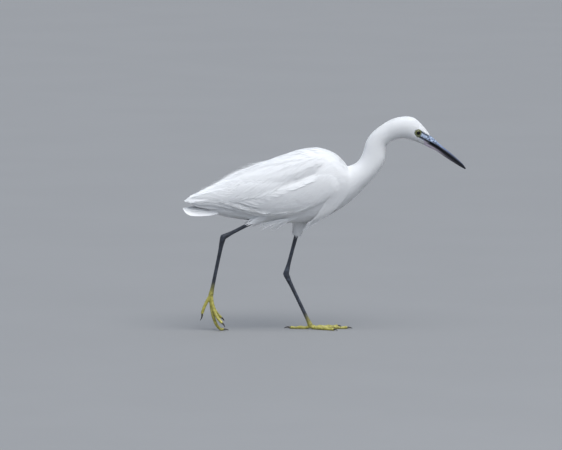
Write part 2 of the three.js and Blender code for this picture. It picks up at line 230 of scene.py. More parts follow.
def tube(path, radii, sides=16, flat=1.0, domed=True):
    """Round bar along a path; flat < 1 presses it from above."""
    p, rad = np.asarray(path, float), np.asarray(radii, float)
    t = unit(np.gradient(p, axis=0))
    if domed:
        p = np.vstack([p[0] - t[0] * rad[0] * 0.8, p[0] - t[0] * rad[0] * 0.55, p, p[-1] + t[-1] * rad[-1] * 0.55, p[-1] + t[-1] * rad[-1] * 0.8])
        t = np.vstack([t[0], t[0], t, t[-1], t[-1]])
        rad = np.concatenate([[rad[0] * 0.35], [rad[0] * 0.8], rad, [rad[-1] * 0.8], [rad[-1] * 0.35]])
    across = unit(np.array([0, 1.0, 0]) - t * t[:, 1:2])
    up = np.cross(t, across)
    a = np.arange(sides) * TAU / sides
    rings = p[:, None] + rad[:, None, None] * (np.cos(a)[None, :, None] * across[:, None] + flat * np.sin(a)[None, :, None] * up[:, None])
    return loft(rings)


def evaluated(o):
    dg = bpy.context.evaluated_depsgraph_get()
    dg.update()
    me = bpy.data.meshes.new_from_object(o.evaluated_get(dg), depsgraph=dg)
    bpy.data.objects.remove(o)
    return me


def remeshed(name, parts, voxel, relax):
    V, F = joined(parts)
    o = object_from(name, mesh_from(name, V, F), [])
    m = o.modifiers.new("voxel", "REMESH")
    m.mode, m.voxel_size = "VOXEL", voxel * 0.001
    if relax:
        s = o.modifiers.new("relax", "SMOOTH")
        s.factor, s.iterations = 0.5, relax
    return evaluated(o)


def combined(name, first, second, operation="UNION"):
    a, b = object_from(name, first, []), object_from(name + "_b", second, [])
    m = a.modifiers.new("b", "BOOLEAN")
    m.operation, m.solver, m.object = operation, "MANIFOLD", b
    me = evaluated(a)
    bpy.data.objects.remove(b)
    return me


# ---------------------------------------------------------------------------- legs and feet
def toe_lines(leg):
    """Centre line, radii and claw of each toe."""
    ball, flat, out = np.array(leg["ball"], float), leg["side"] > 0, leg["side"]
    turns = {"middle": 3, "outer": 29, "inner": -31, "hind": 172}
    falls = {
        "middle": [[1, 18], [3, 18.5], [6, 15], [6.5, 7], [4, 0.8]],
        "outer": [[2.5, 16], [5, 15], [8, 12.5], [8, 8]],
        "inner": [[2.5, 14], [5, 13], [7.5, 10], [6, 5]],
        "hind": [[6, 9.5], [5, 10], [3, 9]],
    }
    made = {}
    for toe, turn in turns.items():
        a = math.radians(turn * out)
        d = np.array([math.cos(a), math.sin(a), 0])
        length = TOE_LENGTH[toe]
        r0, r1 = (3.2 if toe == "hind" else 3.5), 2.5
        pts = []
        if flat:
            knobs = [0.5, 1] if toe == "hind" else [0.36, 0.68, 1]
            pts.append([*(ball - [0, 0, 0.6]), r0 + 0.4])
            last = 0
            for k in knobs:
                r = r0 + (r1 - r0) * k
                for at, rr in ((last + (k - last) * 0.5, r * 0.84), (k, r * 1.06)):
                    p = ball + d * length * at
                    pts.append([p[0], p[1], rr * 0.9, rr])
                last = k
            end = np.array(pts[-1])
            claw_at = end[:3] + d * end[3] * 0.45
            claw_to = claw_at + d * CLAW_LENGTH[toe]
            claw_to[2] = 0.75
        else:
            p = ball.copy()
            pts.append([*ball, r0 + 0.4])
            fall = falls[toe]
            total = length if toe == "middle" else sum(math.hypot(*f) for f in fall)
            gone = 0
            for forward, drop in fall:
                p = p + d * forward * length / total - np.array([0, 0, drop * length / total])
                gone += math.hypot(forward, drop) / total
                r = r0 + (r1 - r0) * min(gone, 1)
                pts.append([p[0], p[1], max(p[2], r * 0.85) if toe == "middle" else p[2], r])
            end, prev = np.array(pts[-1]), np.array(pts[-2])
            tip = unit(end[:3] - prev[:3])
            if toe == "middle":
                tip[2] = -0.12
            tip = unit(tip)
            claw_at = end[:3] + tip * end[3] * 0.45
            claw_to = claw_at + tip * CLAW_LENGTH[toe] + np.array([0, 0, 0 if toe == "middle" else -1.5])
            if toe == "middle":
                claw_to[2] = max(claw_to[2], 0.7)
        made[toe] = {"pts": np.array(pts), "claw": (claw_at, claw_to)}
    return made


def leg_shells(leg):
    """Bare shin, heel joint, tarsus and toes, and their centre lines for the scutes."""
    knee, down, heel, ball = (np.array(leg[k], float) for k in ("knee", "down", "heel", "ball"))
    mix = lambda a, b, t: a + (b - a) * t
    up = mix(down, knee, 0.22)
    rows = lambda items, steps=6: smooth([[*p, r] for p, r in items], steps)
    shin = rows([(up, 3.0), (down, 3.5), (mix(down, heel, 0.35), 3.15), (mix(down, heel, 0.7), 3.3), (mix(down, heel, 0.88), 4.3), (mix(down, heel, 0.97), 5.0), (heel, 4.9)])
    tarsus = rows([(heel, 4.9), (mix(heel, ball, 0.05), 4.8), (mix(heel, ball, 0.14), 3.7), (mix(heel, ball, 0.3), 3.15), (mix(heel, ball, 0.6), 3.0), (mix(heel, ball, 0.86), 3.3), (mix(heel, ball, 0.96), 4.1), (ball, 4.3)])
    toes = toe_lines(leg)
    shells = [tube(r[:, :3], r[:, 3], 16) for r in (shin, tarsus)]
    # the heel joint is a knuckle: two side bosses and the tendon behind
    for s in (-1, 1):
        shells.append(tube([heel + [0, s * 1.5, -0.5], heel + [0, s * 2.9, -0.5]], [4.3, 3.7], 14))
    back = unit(np.cross(unit(ball - heel), [0, 1, 0]))
    if back[0] > 0:
        back = -back
    tendon = rows([(mix(heel, ball, -0.02) + back * 2.2, 2.3), (mix(heel, ball, 0.08) + back * 2.6, 2.0), (mix(heel, ball, 0.3) + back * 1.7, 1.7), (mix(heel, ball, 0.9) + back * 1.5, 1.7), (ball + back * 1.2, 2.2)])
    shells.append(tube(tendon[:, :3], tendon[:, 3], 12))
    lines = {"shin": shin[:, :3], "tarsus": tarsus[:, :3]}
    for toe, t in toes.items():
        r = smooth(t["pts"], 6)
        shells.append(tube(r[:, :3], r[:, 3], 14))
        lines["toe_" + toe] = r[:, :3]
    return shells, lines, toes


def scuted(me, lines, ball, front):
    """Raises the leg's scales: broad plates in front, small ones elsewhere. Marks leg and toe."""
    p = points_of(me)
    me.update()
    nrm = np.zeros(len(me.vertices) * 3, np.float32)
    me.vertex_normals.foreach_get("vector", nrm)
    nrm = nrm.reshape(-1, 3).astype(float)
    best = np.full(len(p), 1e9)
    along, off, kind, facing = np.zeros(len(p)), np.zeros(len(p)), np.zeros(len(p), int), np.zeros(len(p))
    for k, (name, line) in enumerate(lines.items()):
        seg = np.linalg.norm(np.diff(line, axis=0), axis=1)
        at = np.concatenate([[0], np.cumsum(seg)])
        for i in range(len(line) - 1):
            a, b = line[i], line[i + 1]
            t = np.clip(((p - a) @ (b - a)) / max(seg[i] ** 2, 1e-9), 0, 1)
            q = a + t[:, None] * (b - a)
            d = np.linalg.norm(p - q, axis=1)
            closer = d < best
            best[closer] = d[closer]
            along[closer] = at[i] + t[closer] * seg[i]
            kind[closer] = k
            way = unit((b - a)[None])[0]
            ahead = np.cross(way, [0, 1, 0])
            ahead = ahead if (ahead[0] if name in ("shin", "tarsus") else ahead[2]) > 0 else -ahead
            if name.startswith("toe") and abs(way[2]) > 0.5:
                ahead = ahead if ahead[0] > 0 else -ahead
            facing[closer] = (nrm @ ahead)[closer]
    names = list(lines)
    pitch = np.array([3.0 if n == "shin" else 3.6 if n == "tarsus" else 2.5 for n in names])[kind]
    phase = (along / pitch) % 1.0
    plate = np.where(phase < 0.82, phase / 0.82 * 0.55 + 0.45, (1 - phase) / 0.18 * 1.0)  # steps like tiles
    plate_h = (plate - 0.55) * np.clip(facing * 1.6 + 0.15, 0, 1)
    # small scales round the sides and back: a woven net of bumps
    girth = np.arctan2(nrm @ np.array([0, 1.0, 0]), facing)
    net = np.cos(along * TAU / 1.9 + np.round(girth * 3 / math.pi) * math.pi) * np.cos(girth * 9)
    height = 0.24 * plate_h + 0.09 * net * np.clip(0.9 - facing * 1.2, 0, 1)
    p = p + nrm * height[:, None]
    p[:, 2] = np.maximum(p[:, 2], 0.0)
    is_toe = np.array([n.startswith("toe") for n in names])[kind]
    d_ball = np.linalg.norm(p - np.array(ball), axis=1)
    toe = np.where(is_toe, np.clip(0.65 + d_ball / 12, 0, 1), np.clip(1.15 - d_ball / 22, 0, 0.85) ** 1.3)
    groove = np.clip(1 - np.abs(phase - 0.93) / 0.09, 0, 1) * np.clip(facing * 1.6 + 0.15, 0, 1)
    set_points(me, p)
    return p, toe, groove


# ---------------------------------------------------------------------------- the skin
trunk_rows, neck_rows, wing_rows, tail_rows = (smooth(t, 8) for t in (TRUNK, NECK, WING, TAIL))
trunk_rows[:, 5] *= 0.66
neck_rows[:, 5] *= 0.62
ring = np.arange(40) * TAU / 40


def skin_loft(rows, extra=0.0):
    p = section(rows[:, None, :], ring[None], 0.0)
    drawn = folds(p[..., 0], p[..., 2]) * np.clip(np.abs(p[..., 1]) / 20, 0, 1)
    return loft(section(rows[:, None, :], ring[None], -(rows[:, 5:6] + extra) - drawn))


def wing_surface(side, at, f, h=0.0):
    """Points on the folded wing: at 0 the wrist to 1 the tip, f 0 the upper edge to 1 the lower."""
    at, f, h = np.broadcast_arrays(np.asarray(at, float), np.asarray(f, float), np.asarray(h, float))
    rows = wing_rows[::-1]
    x = np.clip(at, 0, 1) * (len(rows) - 1)
    i = np.minimum(x.astype(int), len(rows) - 2)
    t = (x - i)[..., None]
    r = rows[i] * (1 - t) + rows[i + 1] * t
    past = np.maximum(at - 1, 0) * 250.0
    a = np.radians(r[..., 5] + (r[..., 6] - r[..., 5]) * f)
    proud = 1.6 * (0.35 + 0.65 * np.sin(math.pi * np.clip(f, 0, 1)))
    p = section(r, a, proud)
    p = section(r, a, proud + h - folds(p[..., 0], p[..., 2]))
    p[..., 1] *= side
    p[..., 0] -= past
    p[..., 2] -= past * 0.45
    return p


def wing_shell(side, inset=3.4):
    at = np.linspace(0.03, 0.8, 60)[:, None]
    f = np.linspace(0.06, 0.94, 14)[None]
    outer = wing_surface(side, at, f, -inset * (0.6 + 0.4 * np.ones_like(f)))
    inner = wing_surface(side, at, f[:, ::-1], -inset - 9.0)
    return loft(np.concatenate([outer, inner], axis=1))


def thigh_shell(leg, wide, inset):
    knee, down = np.array(leg["knee"], float), np.array(leg["down"], float)
    mix = lambda t: knee + (down - knee) * t
    rows = smooth([[*knee, wide - inset], [*mix(0.55), wide * 0.82 - inset], [*mix(0.85), 7.6 - inset * 0.9], [*down, 4.9 - inset * 0.4]], 6)
    return tube(rows[:, :3], rows[:, 3], 20)


THIGH_WIDE = {"left": 15, "right": 11}
tail_stub = tail_rows[:15].copy()
shells = [skin_loft(trunk_rows), skin_loft(neck_rows[:-24]), wing_shell(1), wing_shell(-1),
          loft(section(tail_stub[:, None, :], ring[None], -5.0))]
shells += [thigh_shell(LEG[s], THIGH_WIDE[s], 2.6) for s in LEG]
body = remeshed("body_skin", shells, 2.1, 5)

# head: finer, with the eye sockets, lids, brow, lores and the fold behind the gape
head_rows = neck_rows[(7 * 8):]
lid_parts = []
for s in (1, -1):
    axis = unit(np.array([0.16, s * 1.0, -0.06]))
    e1 = unit(np.cross([0, 0, 1.0], axis))
    e2 = np.cross(axis, e1)
    centre = np.array([EYE["x"], s * EYE["y"], EYE["z"]])
    n = 48
    rings = []
    for k in range(n):
        a = k * TAU / n
        out = math.cos(a) * e1 + math.sin(a) * e2
        rad = 4.95 + 0.25 * abs(math.cos(a))
        c = centre + out * rad + axis * (math.sqrt(max(EYE["r"] ** 2 - rad ** 2, 0)) + 0.25)
        b = np.arange(10) * TAU / 10
        thick = 0.85
        rings.append(c + thick * (np.cos(b)[:, None] * out + np.sin(b)[:, None] * axis))
    rings = np.array(rings)
    V = rings.reshape(-1, 3)
    F = []
    for k in range(n):
        for i in range(10):
            j, l = (i + 1) % 10, (k + 1) % n
            F += [(k * 10 + i, l * 10 + i, l * 10 + j), (k * 10 + i, l * 10 + j, k * 10 + j)]
    F = np.array(F)
    a_, b_, c_ = V[F[:, 0]] - V.mean(0), V[F[:, 1]] - V.mean(0), V[F[:, 2]] - V.mean(0)
    if np.einsum("ij,ij->i", a_, np.cross(b_, c_)).sum() < 0:
        F = F[:, ::-1]
    lid_parts.append((V, F))
taper = np.interp(head_rows[:, 0:1], [174, 184.5], [0.0, 1.15]) * (1 + 0.9 * np.clip((1 - np.cos(ring)) / 1.4, 0, 1)[None])
head = remeshed("head_skin", [skin_loft(head_rows, taper)] + lid_parts, 0.74, 3)


def hollow(p, path, width, depth, side_min=2.0):
    """Lowers the skin along a line in side view."""
    path = np.asarray(path, float)
    d = np.full(len(p), 1e9)
    q = p[:, [0, 2]]
    for a, b in zip(path[:-1], path[1:]):
        t = np.clip(((q - a) @ (b - a)) / max(((b - a) ** 2).sum(), 1e-9), 0, 1)
        d = np.minimum(d, np.linalg.norm(q - (a + t[:, None] * (b - a)), axis=1))
    w = np.exp(-((d / width) ** 2)) * np.clip((np.abs(p[:, 1]) - side_min) / 3, 0, 1)
    return w * depth


hp = points_of(head)
lower = hollow(hp, [[168.5, 341.5], [176, 336.5], [183, 331]], 2.6, 0.9)
lower += hollow(hp, [[164, 334.6], [168.0, 332.6], [172, 330.2], [178, 326.4], [184, 322.4]], 0.9, 0.65)
lower -= hollow(hp, [[166.5, 345.6], [175, 341.2], [184, 335.4]], 1.6, 0.5)
lower -= hollow(hp, [[163.5, 332.6], [168.5, 329.9], [176, 325.0], [184, 320.0]], 1.1, 0.3)
hp[:, 1] -= np.sign(hp[:, 1]) * lower
set_points(head, hp)
for s in (1, -1):
    g = np.linspace(0, math.pi, 22)
    a = np.arange(32) * TAU / 32
    c = np.array([EYE["x"], s * EYE["y"], EYE["z"]])
    rad = EYE["r"] + 0.05
    rings = c + rad * np.stack([np.broadcast_to(np.cos(g)[1:-1, None], (20, 32)), np.sin(g)[1:-1, None] * np.cos(a), np.sin(g)[1:-1, None] * np.sin(a)], -1)
    v, f = loft(rings)
    ball_me = mesh_from("socket", v, f)
    head = combined("head_skin", head, ball_me, "DIFFERENCE")

skin = combined("skin", body, head)
skin_marks = []
for name, leg in LEG.items():
    parts, lines, toes = leg_shells(leg)
    me = remeshed("leg_" + name, parts, 0.66, 2)
    p, toe, groove = scuted(me, lines, leg["ball"], None)
    skin_marks.append((p, toe, groove))
    leg["toes"] = toes
    skin = combined("skin", skin, me)

sp = points_of(skin)
# marks on the skin: legs and toes from their own points, bare face from a side-view outline
kd = KDTree(sum(len(m[0]) for m in skin_marks))
values, n = [], 0
for p, toe, groove in skin_marks:
    for q, t, g in zip(p, toe, groove):
        kd.insert(q, n)
        values.append((t, g))
        n += 1
kd.balance()
leg_mark, toe_mark, groove_mark = (np.zeros(len(sp)) for _ in range(3))
low = np.where((sp[:, 2] < 215))[0]
for i in low:
    _, j, d = kd.find(sp[i])
    if d < 0.12:
        leg_mark[i], (toe_mark[i], groove_mark[i]) = 1.0, values[j]

FACE = np.array([[156.9, 337.6], [160.6, 333.8], [166.4, 330.7], [171.3, 327.4], [173.0, 323.6], [174.4, 319.0], [175.6, 312], [191, 312], [191, 331],
                 [184.5, 334.4], [175.6, 339.6], [168.8, 344.4], [163.8, 347.4], [158.0, 346.4], [155.8, 342.0]])


def outline_distance(q, poly):
    """Signed distance in side view to a closed outline, positive inside."""
    d = np.full(len(q), 1e9)
    inside = np.zeros(len(q), bool)
    for a, b in zip(poly, np.roll(poly, -1, axis=0)):
        t = np.clip(((q - a) @ (b - a)) / ((b - a) ** 2).sum(), 0, 1)
        d = np.minimum(d, np.linalg.norm(q - (a + t[:, None] * (b - a)), axis=1))
        crosses = (a[1] > q[:, 1]) != (b[1] > q[:, 1])
        with np.errstate(divide="ignore", invalid="ignore"):
            at = a[0] + (q[:, 1] - a[1]) / (b[1] - a[1]) * (b[0] - a[0])
        inside ^= crosses & (q[:, 0] < at)
    return np.where(inside, d, -d)


def bare(p):
    """How far inside the bare face a point is."""
    d = outline_distance(p[:, [0, 2]], FACE)
    return np.where(np.abs(p[:, 1]) > 1.2, d, -5)


face_mark = np.clip(bare(sp) / 0.5 + 0.5, 0, 1) * (sp[:, 0] > 140)
ring_d = np.linalg.norm(np.abs(sp) * [1, 1, 1] - [EYE["x"], EYE["y"] + 3.6, EYE["z"]], axis=1)
ring_mark = np.clip((7.1 - ring_d) / 0.8, 0, 1)
below_eye = np.hypot(sp[:, 0] - 162.2, (sp[:, 2] - 335.9) * 1.25)
ring_mark = np.maximum(ring_mark, np.clip((4.2 - below_eye) / 1.4, 0, 1) * (np.abs(sp[:, 1]) > 6))
pink_mark = np.clip(((329.2 - 0.62 * (sp[:, 0] - 172)) - sp[:, 2]) / 1.0, 0, 1) * np.clip((sp[:, 0] - 170.5) / 1.5, 0, 1)

# ---------------------------------------------------------------------------- materials
def material(name):
    m = bpy.data.materials.new(name)
    m.use_nodes = True
    nt = m.node_tree
    nt.nodes.clear()
    out = nt.nodes.new("ShaderNodeOutputMaterial")
    p = nt.nodes.new("ShaderNodeBsdfPrincipled")
    nt.links.new(p.outputs[0], out.inputs[0])
    return m, nt, p


def node(nt, kind, **props):
    n = nt.nodes.new(kind)
    for k, v in props.items():
        if k in n.inputs.keys():
            n.inputs[k].default_value = v
        else:
            setattr(n, k, v)
    return n


def mix_colour(nt, fac, a, b, blend="MIX"):
    n = nt.nodes.new("ShaderNodeMix")
    n.data_type, n.blend_type = "RGBA", blend
    for socket, v in ((n.inputs[0], fac), (n.inputs[6], a), (n.inputs[7], b)):
        if isinstance(v, (tuple, list)):
            socket.default_value = (*v, 1)
        elif isinstance(v, (int, float)):
            socket.default_value = v
        else:
            nt.links.new(v, socket)
    return n.outputs[2]


def ramp(nt, source, stops, colour=True):
    n = nt.nodes.new("ShaderNodeValToRGB")
    while len(n.color_ramp.elements) < len(stops):
        n.color_ramp.elements.new(0.5)
    for e, (at, c) in zip(n.color_ramp.elements, stops):
        e.position = at
        e.color = (*c, 1) if isinstance(c, (tuple, list)) else (c, c, c, 1)
    nt.links.new(source, n.inputs[0])
    return n.outputs[0]


def attribute(nt, name):
    n = nt.nodes.new("ShaderNodeAttribute")
    n.attribute_name = name
    return n.outputs["Fac"]


def noise(nt, scale, detail=3, rough=0.5):
    t = nt.nodes.new("ShaderNodeTexCoord")
    n = node(nt, "ShaderNodeTexNoise", Scale=scale, Detail=detail, Roughness=rough)
    nt.links.new(t.outputs["Object"], n.inputs["Vector"])
    return n.outputs["Fac"]


def bump(nt, height, strength, distance, p):
    b = node(nt, "ShaderNodeBump", Strength=strength, Distance=distance)
    nt.links.new(height, b.inputs["Height"])
    nt.links.new(b.outputs[0], p.inputs["Normal"])


WHITE = (0.935, 0.94, 0.945)
# painted shade: SHADE is the cooler, duller colour put on feather roots, where the overlapping feathers above them
# would shade them
SHADE = (0.84, 0.86, 0.89)


def feather_material(name, root=SHADE, tip=WHITE, rough=0.62, barb=0.10):
    """White feather: painted shade at its root, cool and duller where the feathers over it shade it; barbs slanting off
    the shaft.
    """
    m, nt, p = material(name)
    tone = attribute(nt, "tone")
    own = attribute(nt, "own")
    # painted shade: the ramp runs from the shaded root colour to the white tip, so covered roots read darker
    base = ramp(nt, tone, [(0.0, root), (0.45, tuple((a + 2 * b) / 3 for a, b in zip(root, tip))), (1.0, tip)])
    dust = noise(nt, 60, 4)
    base = mix_colour(nt, ramp(nt, dust, [(0.4, 0.0), (0.8, 0.10)]), base, (0.86, 0.855, 0.83))
    base = mix_colour(nt, ramp(nt, own, [(0.0, 0.08), (1.0, 0.0)]), base, (0.78, 0.80, 0.85))
    nt.links.new(base, p.inputs["Base Color"])
    p.inputs["Roughness"].default_value = rough
    p.inputs["Specular IOR Level"].default_value = 0.32
    p.inputs["Sheen Weight"].default_value = 0.12
    p.inputs["Subsurface Weight"].default_value = 0.3
    p.inputs["Subsurface Radius"].default_value = (1.0, 1.0, 1.0)
    p.inputs["Subsurface Scale"].default_value = 0.002
    p.inputs["Sheen Roughness"].default_value = 0.45
    uv = node(nt, "ShaderNodeUVMap", uv_map="Vane")
    w = node(nt, "ShaderNodeTexWave", Scale=1.0, Distortion=1.2, Detail=1.0)
    w.wave_type, w.bands_direction = "BANDS", "DIAGONAL"
    sc = node(nt, "ShaderNodeVectorMath", operation="MULTIPLY")
    sc.inputs[1].default_value = (2.2, 2.2, 0.0)
    nt.links.new(uv.outputs[0], sc.inputs[0])
    nt.links.new(sc.outputs[0], w.inputs["Vector"])
    bump(nt, w.outputs["Fac"], barb, 0.0002, p)
    return m


# every feather material below paints shade onto the root end of its feathers
FEATHER = feather_material("feather_body")
FEATHER_FINE = feather_material("feather_face", (0.84, 0.86, 0.89), (0.935, 0.94, 0.945), 0.66, 0.06)
FEATHER_LONG = feather_material("feather_wing", (0.84, 0.86, 0.89), (0.935, 0.94, 0.945), 0.56, 0.12)
PLUME = feather_material("feather_plume", (0.86, 0.875, 0.90), (0.935, 0.94, 0.945), 0.5, 0.06)

# skin: white down, bare blue-grey face, yellow-green ring, blackish legs, yellow toes
SKIN, nt, p = material("skin")
down = mix_colour(nt, ramp(nt, noise(nt, 220, 5), [(0.3, 0.0), (0.7, 1.0)]), (0.80, 0.82, 0.86), (0.87, 0.88, 0.90))
patch = ramp(nt, noise(nt, 420, 4, 0.6), [(0.36, (0.115, 0.135, 0.20)), (0.5, (0.27, 0.34, 0.47)), (0.68, (0.46, 0.54, 0.66))])
face = mix_colour(nt, attribute(nt, "pink"), patch, mix_colour(nt, noise(nt, 350, 4), (0.44, 0.38, 0.48), (0.62, 0.55, 0.63)))
face = mix_colour(nt, attribute(nt, "gape"), face, (0.016, 0.018, 0.026))
face = mix_colour(nt, attribute(nt, "ring"), face, mix_colour(nt, noise(nt, 500, 4), (0.06, 0.070, 0.032), (0.27, 0.28, 0.13)))
colour = mix_colour(nt, attribute(nt, "face"), down, face)
leg_base = ramp(nt, noise(nt, 160, 5, 0.6), [(0.3, (0.012, 0.015, 0.022)), (0.55, (0.030, 0.036, 0.050)), (0.75, (0.075, 0.092, 0.125))])
toe_base = ramp(nt, noise(nt, 190, 5, 0.6), [(0.3, (0.19, 0.175, 0.035)), (0.55, (0.40, 0.365, 0.075)), (0.78, (0.55, 0.50, 0.15))])
leg = mix_colour(nt, attribute(nt, "toe"), leg_base, toe_base)
leg = mix_colour(nt, attribute(nt, "groove"), leg, (0.03, 0.03, 0.028))
colour = mix_colour(nt, attribute(nt, "leg"), colour, leg)
nt.links.new(colour, p.inputs["Base Color"])
rough = nt.nodes.new("ShaderNodeMapRange")
nt.links.new(attribute(nt, "leg"), rough.inputs[0])
rough.inputs[3].default_value, rough.inputs[4].default_value = 0.6, 0.42
nt.links.new(rough.outputs[0], p.inputs["Roughness"])
cells = node(nt, "ShaderNodeTexVoronoi", Scale=900.0)
tc = nt.nodes.new("ShaderNodeTexCoord")
nt.links.new(tc.outputs["Object"], cells.inputs["Vector"])
bump(nt, cells.outputs["Distance"], 0.25, 0.0003, p)

HORN_UPPER, nt, p = material("bill_upper_horn")
along = attribute(nt, "along")
flow = noise(nt, 420, 4, 0.6)
pale = ramp(nt, flow, [(0.40, (0.050, 0.060, 0.095)), (0.50, (0.24, 0.31, 0.45)), (0.66, (0.44, 0.53, 0.68))])
# painted highlight: slate blue along the top of the bill, fading to near black at the tip, stands for the sky's
# reflection on the black culmen
culmen_painted_highlight = ramp(nt, along, [(0.3, (0.17, 0.22, 0.36)), (0.55, (0.085, 0.105, 0.17)), (1.0, (0.030, 0.034, 0.050))])
top = mix_colour(nt, ramp(nt, along, [(0.20, 0.0), (0.42, 1.0)]), pale, culmen_painted_highlight)
# ridge mask: the top of the upper mandible gets the pale base colour and the painted culmen highlight, the rest stays
# black
base = mix_colour(nt, attribute(nt, "ridge_pale_and_highlight"), (0.016, 0.018, 0.026), top)
base = mix_colour(nt, attribute(nt, "edge"), base, (0.012, 0.013, 0.017))
nt.links.new(base, p.inputs["Base Color"])
p.inputs["Roughness"].default_value = 0.36
p.inputs["Specular IOR Level"].default_value = 0.22
bump(nt, flow, 0.15, 0.0004, p)

HORN_LOWER, nt, p = material("bill_lower_horn")
along = attribute(nt, "along")
flow = noise(nt, 350, 4, 0.6)
pink = mix_colour(nt, flow, (0.44, 0.38, 0.48), (0.62, 0.55, 0.63))
base = mix_colour(nt, ramp(nt, along, [(0.28, 0.0), (0.52, 0.75), (0.75, 1.0)]), pink, (0.020, 0.021, 0.028))
base = mix_colour(nt, attribute(nt, "edge"), base, (0.012, 0.013, 0.017))
nt.links.new(base, p.inputs["Base Color"])
rough = nt.nodes.new("ShaderNodeMapRange")
nt.links.new(attribute(nt, "edge"), rough.inputs[0])
rough.inputs[3].default_value, rough.inputs[4].default_value = 0.36, 0.7
nt.links.new(rough.outputs[0], p.inputs["Roughness"])
p.inputs["Specular IOR Level"].default_value = 0.22
bump(nt, flow, 0.12, 0.0004, p)

CLAW, nt, p = material("claw_horn")
base = ramp(nt, attribute(nt, "along"), [(0.0, (0.10, 0.085, 0.055)), (0.35, (0.030, 0.026, 0.022)), (1.0, (0.012, 0.011, 0.011))])
base = mix_colour(nt, ramp(nt, noise(nt, 700, 4), [(0.4, 0.0), (0.7, 0.3)]), base, (0.12, 0.11, 0.09))
nt.links.new(base, p.inputs["Base Color"])
p.inputs["Roughness"].default_value = 0.32
bump(nt, noise(nt, 900, 3), 0.1, 0.0002, p)

IRIS, nt, p = material("iris")
streak = node(nt, "ShaderNodeTexNoise", Scale=7.0, Detail=4.0)
uv = node(nt, "ShaderNodeUVMap", uv_map="Ring")
nt.links.new(uv.outputs[0], streak.inputs["Vector"])
base = ramp(nt, streak.outputs["Fac"], [(0.3, (0.06, 0.066, 0.018)), (0.55, (0.165, 0.17, 0.048)), (0.75, (0.30, 0.30, 0.10))])
base = mix_colour(nt, attribute(nt, "rim"), base, (0.035, 0.035, 0.02))
nt.links.new(base, p.inputs["Base Color"])
p.inputs["Roughness"].default_value = 0.12
p.inputs["Specular IOR Level"].default_value = 0.3
PUPIL, nt, p = material("pupil")
base = mix_colour(nt, noise(nt, 500), (0.001, 0.001, 0.002), (0.004, 0.004, 0.005))
nt.links.new(base, p.inputs["Base Color"])
p.inputs["Roughness"].default_value = 0.04
p.inputs["Specular IOR Level"].default_value = 0.22

# ------------------------------------------------------------------------- skin object
attrs = {"face": np.maximum(face_mark, ring_mark), "ring": ring_mark * 0.9, "leg": leg_mark, "toe": toe_mark, "groove": groove_mark * 0.75}
wide = np.interp(sp[:, 0], [172, 184], [1.0, 1.9])
gape_line = hollow(sp, [[164, 334.8], [168.0, 332.7], [172, 330.3], [178, 326.5], [185, 322.2]], 1.4 * wide, 1.6)
brow_line = hollow(sp, [[166.9, 343.2], [171, 340.6], [176, 337.6], [180, 335.2], [185, 332.2]], 1.0, 1.0)
attrs["gape"] = np.clip(gape_line + brow_line, 0, 1)
attrs["pink"] = pink_mark
for k, v in attrs.items():
    a = skin.attributes.new(k, "FLOAT", "POINT")
    a.data.foreach_set("value", v.astype(np.float32))
skin.materials.clear()
skin.polygons.foreach_set("material_index", np.zeros(len(skin.polygons), np.int32))
skin.polygons.foreach_set("use_smooth", np.ones(len(skin.polygons), bool))
skin_obj = object_from("skin", skin, [SKIN])
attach(skin_obj, "root")
print("skin faces", len(skin.polygons))

# --------------------------------------------------------------------------- feather maker
rng = np.random.default_rng(7)


